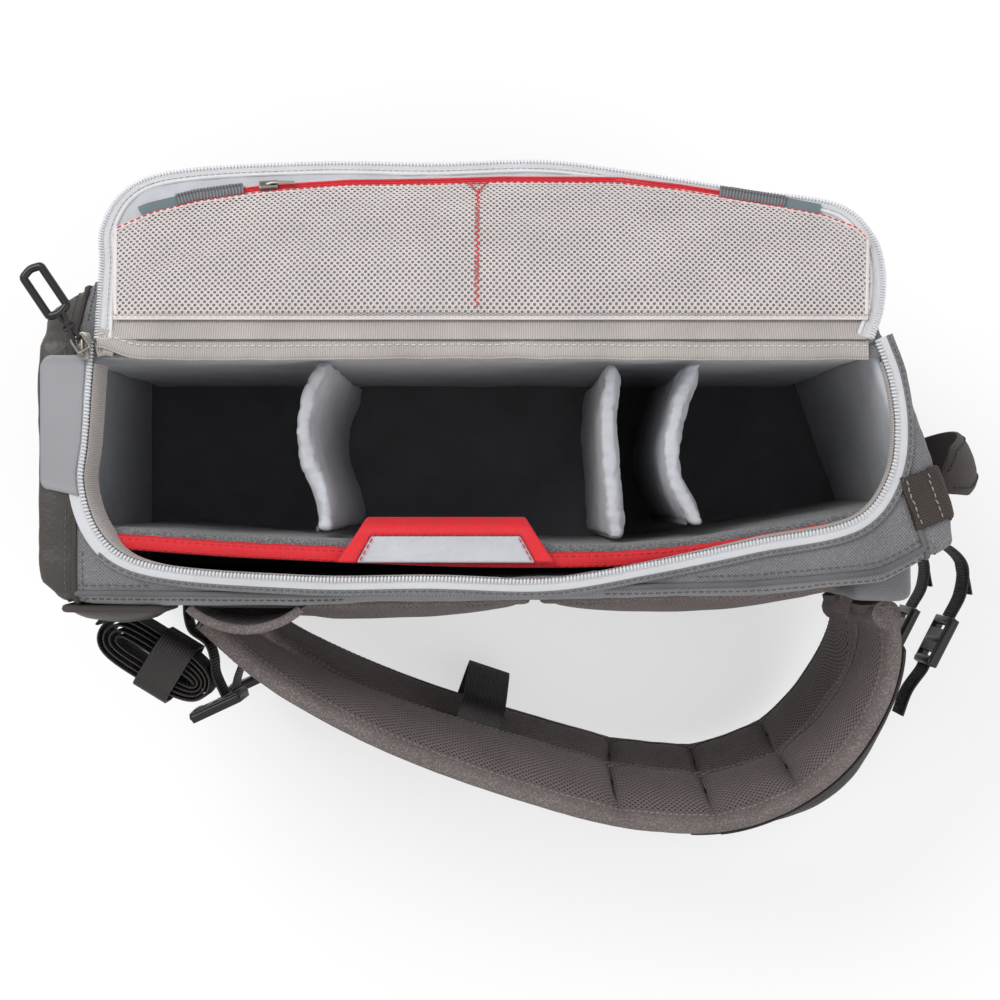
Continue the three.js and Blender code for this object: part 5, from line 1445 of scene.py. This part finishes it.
def make_stow_slot():
    """A bound lip that stands off the back below the open side: the mouth of the belt's stow slot."""
    def lip(share, z, inset=0.0):
        x = -151 + 55 * share
        stand = (11.5 * math.sin(math.pi * share) ** 0.7 - inset) * (0.55 + 0.45 * (z - 204) / 32)
        return (x, back_face(x) - 1.5 - max(stand, 0), z)

    rings = []
    for share in np.linspace(0, 1, 34):
        rings.append([lip(share, z) for z in np.linspace(204, 236, 6)]
                     + [lip(share, z, 2.2) for z in np.linspace(236, 204, 6)])
    make("stow_slot_lip", "bag", air_mesh, [loft(rings)])
    hem = tube([lip(s, 236, 1.0) for s in np.linspace(0.01, 0.99, 40)], 2.3, 8, flat=0.8)
    make("stow_slot_binding", "bag", edge_tape, [hem])
    floor = []
    for share in np.linspace(0.02, 0.98, 24):
        x, y, _ = lip(share, 206, 1.0)
        back = back_face(x)
        floor.append([(x, back + 0.4, 204.6), (x, back + 0.4, 234), (x, back - 1.4, 234), (x, back - 1.4, 207),
                      (x, y, 206.6), (x, y, 204.6)])
    make("stow_slot_lining", "bag", strap_back, [loft(floor)])


# Grab handle over the top panel

def handle_place(across, out, z):
    (ax, ay), (bx, by) = PROFILE[6], PROFILE[7]
    length = math.hypot(bx - ax, by - ay)
    along = np.array([(bx - ax) / length, (by - ay) / length, 0])
    outward = np.array([along[1], -along[0], 0])
    middle = np.array([ax, ay, 0]) + along * length * 0.18
    return middle + along * across + outward * out + np.array([0, 0, z])


HALF_SPAN, ARCH = 95, 37.9


def make_handle():
    rings, edges, outs = [], ([], []), []
    for share in np.linspace(0, 1, 61):
        angle = math.pi * share
        rise = 3.3 + ARCH * math.sin(angle)
        z = WIDTH / 2 - HALF_SPAN * math.cos(angle)
        slope = unit(np.array([HALF_SPAN * math.sin(angle), ARCH * math.cos(angle)]))
        open_share = min(1, math.sin(angle) * 2)
        width, curl = 5 + 21 * open_share, 2.2 * open_share
        ring = []
        for a, h in strip_section(-width / 2, width / 2, 2.6):
            face = h - 1.3 - curl * (2 * a / width) ** 2
            ring.append(handle_place(a + 0.2 * rise, rise + face * slope[0], z - face * slope[1]))
        rings.append(ring)
        outs.append(handle_place(0, slope[0], -slope[1]) - handle_place(0, 0, 0))
        for side, kept in zip((-1, 1), edges):
            inset = side * max(width / 2 - 3, 0.5)
            face = 1.35 - curl * (2 * inset / width) ** 2
            kept.append(handle_place(inset + 0.2 * rise, rise + face * slope[0], z - face * slope[1]))
    make("grab_handle_webbing", "grab_handle", handle_web, [loft(rings)], ["grab_handle"])
    for line in edges:
        lay_on_line("stitch", dark_thread, "grab_handle", line[4:-4], outs[4:-4], 3.2)
    for node_name, low, high in (("handle_foot_lower", 21, 39), ("handle_foot_upper", 211, 229)):
        foot = swept(np.linspace(low, high, 10), strip_section(-13, 13, 2.2, 0.2),
                     lambda z, a, h: on_skin(handle_place(a, 0, z), h + 0.2 * math.sin(z))[0])
        make(node_name + "_webbing", "bag", handle_web, [foot], [node_name])
        # A sewn box with its two diagonals
        z0, z1 = low + 3, high - 3
        for start, end in (((-10, z0), (10, z0)), ((-10, z1), (10, z1)), ((-10, z0), (10, z1)),
                           ((-10, z1), (10, z0)), ((-10, z0), (-10, z1)), ((10, z0), (10, z1))):
            spots = [np.array(start) * (1 - s) + np.array(end) * s for s in np.linspace(0, 1, 9)]
            sew(pale_thread, "bag", [on_skin(handle_place(a, 0, z), 2.5) for a, z in spots], 3.0)


def make_handle_tongue():
    """The handle's webbing runs on from its upper foot, over the bag's edge, to the open side."""
    def over_edge(a, run, lift):
        to_edge = 22
        if run < to_edge:
            return on_skin(handle_place(a, 1, 229 + run), lift)
        return on_skin(handle_place(a, to_edge - run, 254), lift)

    tongue = swept(np.linspace(0, 40, 30), strip_section(-13, 13, 2.2, 0.3),
                   lambda run, a, h: over_edge(a, run, h)[0])
    make("grab_handle_tongue", "bag", handle_web, [tongue])
    for run in (38, 27, 3):
        sew(strap_thread, "bag", [over_edge(a, run, 2.6) for a in np.linspace(-11.5, 11.5, 13)], 3.0)


# Shoulder straps

STRAP_SHARES = [(-0.345, 0.075, 0.72, 0.2), (-0.273, 0.311, 0.7, 0.19), (-0.136, 0.604, 0.675, 0.17),
                (0.0227, 0.84, 0.64, 0.155), (0.17, 1, 0.61, 0.152), (0.284, 1, 0.6, 0.152),
                (0.382, 0.792, 0.61, 0.165), (0.4386, 0.443, 0.64, 0.22), (0.45, 0.18, 0.66, 0.3)]
STRAP_DEPTH = 106
TUFTS = (0.53, 0.645, 0.75)
YOKE_Y = min(back_face(0.4 * LENGTH), back_face(0.4655 * LENGTH)) - 9


def strap_route(side):
    column, top = (2, 0.66) if side == "left" else (3, 0.3)
    points = [(row[0] * LENGTH, BACK_Y - row[1] * STRAP_DEPTH, row[column] * WIDTH) for row in STRAP_SHARES]
    return Route([*points, (0.439 * LENGTH, YOKE_Y - 2.2, WIDTH * top)])


STRAPS = {side: strap_route(side) for side in ("left", "right")}


def strap_tilt(share):
    return math.radians(19) * math.sin(math.pi * share)


def strap_frame(side, share):
    return STRAPS[side].frame(share, strap_tilt(share))


def strap_half(share):
    return (46 + 16 * min(1, share / 0.12)) / 2


def strap_face(share, across, outer):
    """Height of the strap's faces; sewn tufts draw the inner face in from one edge."""
    round_over = 1 - abs(across) ** 3
    if outer:
        return 2.4 + 3.6 * round_over
    folds = max(math.exp(-abs(share - place) / 0.008) for place in TUFTS)
    pinch = folds * 0.9 * (1 if across <= 0.1 else max(0, 1.1 - across)) * (0.3 if across < -0.9 else 1)
    bulge = max(math.exp(-((abs(share - place) - 0.035) / 0.02) ** 2) for place in TUFTS)
    return -2.6 - (5.2 + 0.9 * bulge) * round_over * (1 - pinch) + 2.4 * pinch


def strap_place(side, share, across_mm, out_mm):
    point, _, across, out = strap_frame(side, share)
    return point + across * across_mm + out * out_mm


def strap_shares():
    even = list(np.linspace(0, 1, 131))
    return sorted(even + [t + k * 0.0022 for t in TUFTS for k in range(-7, 8)])


ACROSS = np.sin(np.linspace(-0.5, 0.5, 17) * math.pi)


def make_strap(side):
    body = side + "_strap"
    rings = []
    shares = strap_shares()
    for share in shares:
        half = strap_half(share) - 0.6
        outer = [strap_place(side, share, a * half, strap_face(share, a, True)) for a in ACROSS]
        inner = [strap_place(side, share, a * half, strap_face(share, a, False)) for a in ACROSS]
        rings.append([*outer, *inner[::-1]])
    obj = make(side + "_strap_padding", body, air_mesh, [loft(rings)], [side + "_strap_pad"], 0.7, 60)
    # The outer face is the backing cloth, the inner one the knit
    obj.data.materials.append(strap_back)
    samples = [strap_frame(side, k / 40) for k in range(41)]
    for polygon, normal in zip(obj.data.polygons, read(obj.data.polygons, "normal", 3)):
        middle = np.array(polygon.center) / MM
        nearest = min(samples, key=lambda sample: np.sum((sample[0] - middle) ** 2))
        if np.dot(normal, nearest[3]) > 0.3:
            polygon.material_index = 1
    # Bound edges: a folded tape over each long edge, sewn on both faces
    for sign in (-1, 1):
        rings, rows = [], ([], [])
        for share in np.linspace(0.004, 0.996, 150):
            half = strap_half(share)
            thick_out, thick_in = strap_face(share, 0.97, True), strap_face(share, 0.97 * sign, False)
            wave = 0.35 * lumps(share * 500, sign * 20, 0, 9)
            turn_in = 1 - 6.4 / half
            section = [(turn_in, strap_face(share, turn_in, True) + 0.5),
                       (0.9, strap_face(share, 0.9, True) + 0.8), (0.985, thick_out + 0.3),
                       (1.015, thick_out * 0.4), (1.015, thick_in * 0.4),
                       (0.985, thick_in - 0.3), (0.9, strap_face(share, 0.9 * sign, False) - 0.8),
                       (turn_in, strap_face(share, turn_in * sign, False) - 0.5),
                       (turn_in, strap_face(share, turn_in * sign, False) + 0.6), (0.9, thick_in + 1.5),
                       (0.97, 0), (0.9, thick_out - 1.5), (turn_in, strap_face(share, turn_in, True) - 0.6)]
            rings.append([strap_place(side, share, sign * a * half + wave, o) for a, o in section])
            faces = (section[0][1] * 0.6 + section[1][1] * 0.4, section[7][1] * 0.6 + section[6][1] * 0.4)
            for row, way, face in zip(rows, (1, -1), faces):
                spot = strap_place(side, share, sign * (turn_in * half + 1.4) + wave, face - 0.35 * way)
                row.append((spot, strap_frame(side, share)[3] * way))
        make(f"{side}_strap_edge_{'high' if sign > 0 else 'low'}", body, edge_tape, [loft(rings)], angle=60)
        for row in rows:
            sew(strap_thread, body, row, 3.2)
    for place in TUFTS:
        _, _, across, out = strap_frame(side, place)
        spot = strap_place(side, place, -0.28 * 31, strap_face(place, -0.28, False) - 0.4)
        lay("bar_tack", dark_thread, body, [spot], [across], [-out])
    # The strap's ends are gathered into a flat sewn tongue
    for end, low, high in (("lower", 0.0, 0.03), ("upper", 0.965, 1.0)):
        rings = []
        for share in np.linspace(low, high, 8):
            half = strap_half(share) * 0.96
            rings.append([strap_place(side, share, a * half, o) for a, o in (
                (-1, 3.2), (-0.5, 6.2), (0, 6.4), (0.5, 6.2), (1, 3.2), (1, -3.4), (0.5, -8.0), (0, -8.3),
                (-0.5, -8.0), (-1, -3.4))])
        make(f"{side}_strap_{end}_end", body, edge_tape, [loft(rings)])
    # At the yoke the padding is turned over into a thick roll before it is sewn down
    fold = [strap_place(side, 0.984, a * strap_half(1), -0.8 - 0.8 * math.cos(2 * a))
            for a in np.linspace(-0.99, 0.99, 25)]
    make(f"{side}_strap_head_fold", body, edge_tape, [tube(fold, 7.4, 14)])


def make_strap_pocket():
    start, end, half = 0.62, 0.95, 23.0

    def face(share, a):
        inner = strap_face(share, a * half / strap_half(share), True) + 0.4
        swell = full((share - start) / (end - start)) * (1 - a * a)
        bulge = 8 + 7 * math.exp(-((share - 0.77) / 0.06) ** 2) * (0.6 + 0.4 * a)
        return inner, inner + 1.2 + bulge * swell + 0.7 * lumps(share * 480, a * 23, 0, 13) * swell

    rings = []
    for share in np.linspace(start, end, 61):
        rings.append([strap_place("left", share, a * half, face(share, a)[1]) for a in ACROSS]
                     + [strap_place("left", share, a * half, face(share, a)[0]) for a in ACROSS[::-1]])
    make("strap_pocket_net", "left_strap", stretch_net, [loft(rings)], ["strap_pocket"])
    hems = []
    for sign in (-1, 1):
        hems.append([strap_place("left", s, sign * half, face(s, 0.98 * sign)[1] + 0.2)
                     for s in np.linspace(start, end, 60)])
    for share in (start, end):
        hems.append([strap_place("left", share, a * half, face(share, a)[1] + 0.2) for a in ACROSS])
    make("strap_pocket_hem", "left_strap", webbing, [tube(hem, 1.3, 8) for hem in hems])
    # The pocket's zip along its upper edge
    zip_at = 25.8
    rings, line, outs = [], [], []
    for share in np.linspace(0.65, 0.93, 70):
        base = max(strap_face(share, 24 / strap_half(share), True), 0) + 0.2
        section = strip_section(-2.6, 2.6, 1.3)
        rings.append([strap_place("left", share, zip_at + a, base + h) for a, h in section])
        line.append(strap_place("left", share, zip_at, base + 1.3))
        outs.append(strap_frame("left", share)[3])
    make("strap_zip_tape", "left_strap", webbing, [loft(rings)])
    lay_on_line("fine_loop", black_coil, "left_strap", line, outs, 1.3)


# Load lifters with ladder locks, lower adjusters and their webbing

def lock_details(node_name, name, body, frame_at):
    """A ladder lock: rounded rails and bars, with a grip bar that stands proud."""
    bevelled(node_name, name, acetal, body, 1.1)
    point, along, across, out = frame_at
    bars = []
    for place, radius, lift in ((-11.3, 2.5, 0.6), (0.0, 2.3, 0.9), (11.3, 2.6, 1.0)):
        line = [point + along * place + across * a + out * (lift * (1 - (a / 16) ** 4))
                for a in np.linspace(-15.4, 15.4, 15)]
        bars.append(tube(line, radius, 12, flat=1.05))
    for a in (-14.6, 14.6):
        line = [point + along * x + across * a + out * 0.4 for x in np.linspace(-12.6, 12.6, 11)]
        bars.append(tube(line, 1.9, 10, flat=1.3))
    make(name + "_bars", body, acetal, bars, angle=60)


def make_lifters():
    for side in ("left", "right"):
        z = STRAPS[side].at(1)[2]
        points = [(220 + x * 22, -20 + y * 22, z) for x, y in
                  [(-0.25, -0.19), (0.12, -0.06), (0.5, -0.16), (0.92, -0.6), (0.9, -1.3), (0.62, -1.85)]]
        lifter = Route(points)
        start, along, _, out = lifter.frame(0.5)
        tail = Route([start, start + along * 8 + out * 2.2, start + along * 16 + out * 4.4])
        make(side + "_load_lifter_webbing", "bag", webbing,
             [band(lifter, 40, 25, 1.6, uneven=0.3), band(tail, 16, 24.4, 1.5, uneven=0.2)],
             [side + "_load_lifter"], bend=(side + "_strap", lifter.at(0.3), lifter.at(0.93)))
        body = side + "_strap"
        point, along, across, out = lifter.frame(1)
        point = point + along * (0.6 + 13.5)
        lock_details(side + "_lifter_lock", side + "_lifter_lock_moulded", body, (point, along, across, out))
        pocket = 9.5 if side == "left" else 0.0

        def on_strap(share):
            spot, _, wide, outward = strap_frame(side, share)
            reach = (z - spot[2]) / wide[2]
            crown = 4 * (1 - (reach / strap_half(share)) ** 2)
            place = spot + wide * reach + outward * (2 + crown + pocket + 2.4)
            return np.array([place[0], place[1], z])

        leads = [point + along * (13.5 + 0.3 + lead) for lead in (0, 3)]
        make(side + "_lifter_link_webbing", body, webbing,
             [band(Route([*leads, on_strap(0.905), on_strap(0.88)]), 24, 25, 1.6)], [side + "_lifter_link"])


LOCK_TURN = math.radians(205)


def lock_frame(side):
    start = STRAPS[side].at(0)
    along = np.array([math.cos(LOCK_TURN), math.sin(LOCK_TURN), 0])
    across = np.array([0, 0, 1.0])
    return np.array([start[0] + 8, start[1] - 46, start[2]]), along, across, np.cross(along, across)


def make_adjusters():
    for side in ("left", "right"):
        body = side + "_strap"
        start = STRAPS[side].at(0)
        frame_at = point, along, _, _ = lock_frame(side)
        lock_details(side + "_adjuster_lock", side + "_adjuster_lock_moulded", body, frame_at)
        spot, _, _, outward = strap_frame(side, 0.07)
        tab_start = spot + outward * 6.6
        tab_start[2] = start[2]
        lock_top = point - along * 8.91 + np.array([0, 4.35, 0])
        middle = (tab_start + lock_top) / 2 + np.array([-0.4, 0.2, 0])
        tab = band(Route([tab_start, middle, lock_top]), 12, 25, 1.7)
        make(side + "_strap_tab_webbing", body, webbing, [tab], [side + "_strap_tab"])
        points = [(start[0] + x * 46, start[1] + y * 46, start[2]) for x, y in (
            (-0.18, 0.178), (-0.174, 0), (-0.122, -0.165), (0.052, -0.309), (0.117, -0.478), (0.135, -0.641),
            (0.243, -0.893))]
        make(side + "_adjuster_webbing_band", body, webbing, [band(Route(points), 44, 25, 1.6, uneven=0.2)],
             [side + "_adjuster_webbing"])


def squared(count, power):
    """Places round a circle that is pressed towards a square."""
    spots = []
    for angle in np.arange(count) / count * 2 * math.pi:
        c, d = math.cos(angle), math.sin(angle)
        edge = (abs(c) ** power + abs(d) ** power) ** (-1 / power)
        spots.append((edge * c, edge * d))
    return spots


TURNS, FIRST_RADIUS, TURN_PITCH = 4.5, 1.7, 2.6


def make_tail_roll():
    """The webbing's spare end, rolled up flat, and the elastic band round it."""
    turn = math.radians(-31.5)
    centre = lock_frame("left")[0] + np.array([-30, 23, 0])
    along_roll = np.array([math.cos(turn), math.sin(turn), 0])
    across_roll = np.array([-math.sin(turn), math.cos(turn), 0])
    steps = int(TURNS * 48)
    points = []
    for step in range(steps + 1):
        angle = step / 48 * 2 * math.pi
        radius = (FIRST_RADIUS + TURN_PITCH * step / 48) * (1 - 0.2 * math.cos(angle))
        bow = math.tanh(2 * math.cos(angle)) / math.tanh(2) * 20
        points.append(centre + along_roll * (bow + radius * math.cos(angle))
                      + across_roll * radius * math.sin(angle))
    points = np.array(points)
    rings = []
    for i, point in enumerate(points):
        way = unit(points[min(i + 1, steps)] - points[max(i - 1, 0)])
        out = np.cross(way, np.array([0, 0, 1.0]))
        shift = 1.2 * math.sin(i * 0.11)
        rings.append([point + np.array([0, 0, a + shift]) + out * (h - 0.7)
                      for a, h in strip_section(-14.6, 14.6, 1.45)])
    make("tail_roll_webbing", "tail_roll", roll_web, [loft(rings)], ["tail_roll"])
    at = centre + along_roll * 4.8
    reach, half_z, half_width = FIRST_RADIUS + TURN_PITCH * TURNS + 1.6, 15.9, 9.5
    shell = []
    for grow, way in ((1.5, 1), (0.2, -1)):
        for s in np.linspace(-half_width, half_width, 15)[::way]:
            shell.append([at + along_roll * s + across_roll * (reach + grow) * c
                          + np.array([0, 0, (half_z + grow) * d]) for c, d in squared(40, 5)])
    make("roll_keeper_elastic", "roll_keeper", webbing, [closed_loft(shell)], ["roll_keeper"])


def make_sternum_keeper():
    """An elastic band round the right strap, wide enough inside for the sternum strap's end."""
    share = 0.345
    point, along, across, out = strap_frame("right", share)
    half = strap_half(share) + 0.6
    outer_face, inner_face = 6.9, -26.0
    middle, depth = (outer_face + inner_face) / 2, (outer_face - inner_face) / 2
    shell = []
    for grow, way in ((0.0, -1), (2.0, 1)):
        for s in np.linspace(-12.5, 12.5, 11)[::way]:
            shell.append([point + along * s + across * (half + grow) * c + out * (middle + (depth + grow) * d)
                          for c, d in squared(44, 6)])
    make("sternum_keeper_elastic", "sternum_keeper", webbing, [closed_loft(shell)], ["sternum_keeper"])


# Floor and light

def make_stage():
    mesh = mesh_of("floor", [(x * 6000, y * 6000, -2) for x, y in ((-1, -1), (1, -1), (1, 1), (-1, 1))],
                   [(0, 1, 2, 3)])
    floor = added("floor", mesh)
    paper = bpy.data.materials.new("white_paper")
    paper.use_nodes = True
    tree = paper.node_tree
    shader = tree.nodes["Principled BSDF"]
    shader.inputs["Roughness"].default_value = 0.9
    shader.inputs["Base Color"].default_value = linear("#ffffff")
    # The camera sees the paper's shadow lightened, as on an overlit studio sweep
    glow = node(tree, "ShaderNodeEmission", {"Color": (1, 1, 1, 1), "Strength": 1.0})
    straight = node(tree, "ShaderNodeLightPath")
    share = node(tree, "ShaderNodeMath", {0: straight.outputs["Is Camera Ray"], 1: 0.55}, operation="MULTIPLY")
    overlit = node(tree, "ShaderNodeMixShader", {0: share.outputs[0], 1: shader.outputs[0],
                                                 2: glow.outputs[0]})
    tree.links.new(overlit.outputs[0], tree.nodes["Material Output"].inputs["Surface"])
    mesh.materials.append(paper)
    world = bpy.data.worlds.new("studio")
    scene.world = world
    world.use_nodes = True
    tree = world.node_tree
    path = node(tree, "ShaderNodeLightPath")
    seen = node(tree, "ShaderNodeMath", {0: path.outputs["Is Camera Ray"], 1: path.outputs["Is Glossy Ray"]},
                operation="MAXIMUM")
    clear = node(tree, "ShaderNodeMath", {0: seen.outputs[0], 1: path.outputs["Is Transmission Ray"]},
                 operation="MAXIMUM")
    backdrop = tree.nodes["Background"]
    tree.links.new(ranged(tree, clear.outputs[0], 0.0, 1.0, 0.7, 1.0), backdrop.inputs["Strength"])
    backdrop.inputs["Color"].default_value = (1, 1, 1, 1)
    for name, place, size, energy in (("key", (-0.9, 0.9, 1.6), 1.0, 18), ("fill", (1.2, -0.7, 1.4), 1.4, 8)):
        data = bpy.data.lights.new(name, "AREA")
        data.size = size
        data.energy = energy
        lamp = added(name, data)
        lamp.location = place
        lamp.rotation_euler = (Vector((0, 0, 0.1)) - Vector(place)).to_track_quat("-Z", "Y").to_euler()


sew_seams(make_shell())
make_lining()
make_tablet_binding()
make_sleeve_tab()
make_dividers()
make_rim_zip()
make_label_patch()
make_hinge_binding()
make_slider()
make_pull()
make_flap()
make_net_pocket()
make_pocket_zip()
make_back_pads()
make_stow_slot()
make_handle()
make_handle_tongue()
for side in ("left", "right"):
    make_strap(side)
make_strap_pocket()
make_lifters()
make_adjusters()
make_tail_roll()
make_sternum_keeper()
build_repeats()
make_stage()
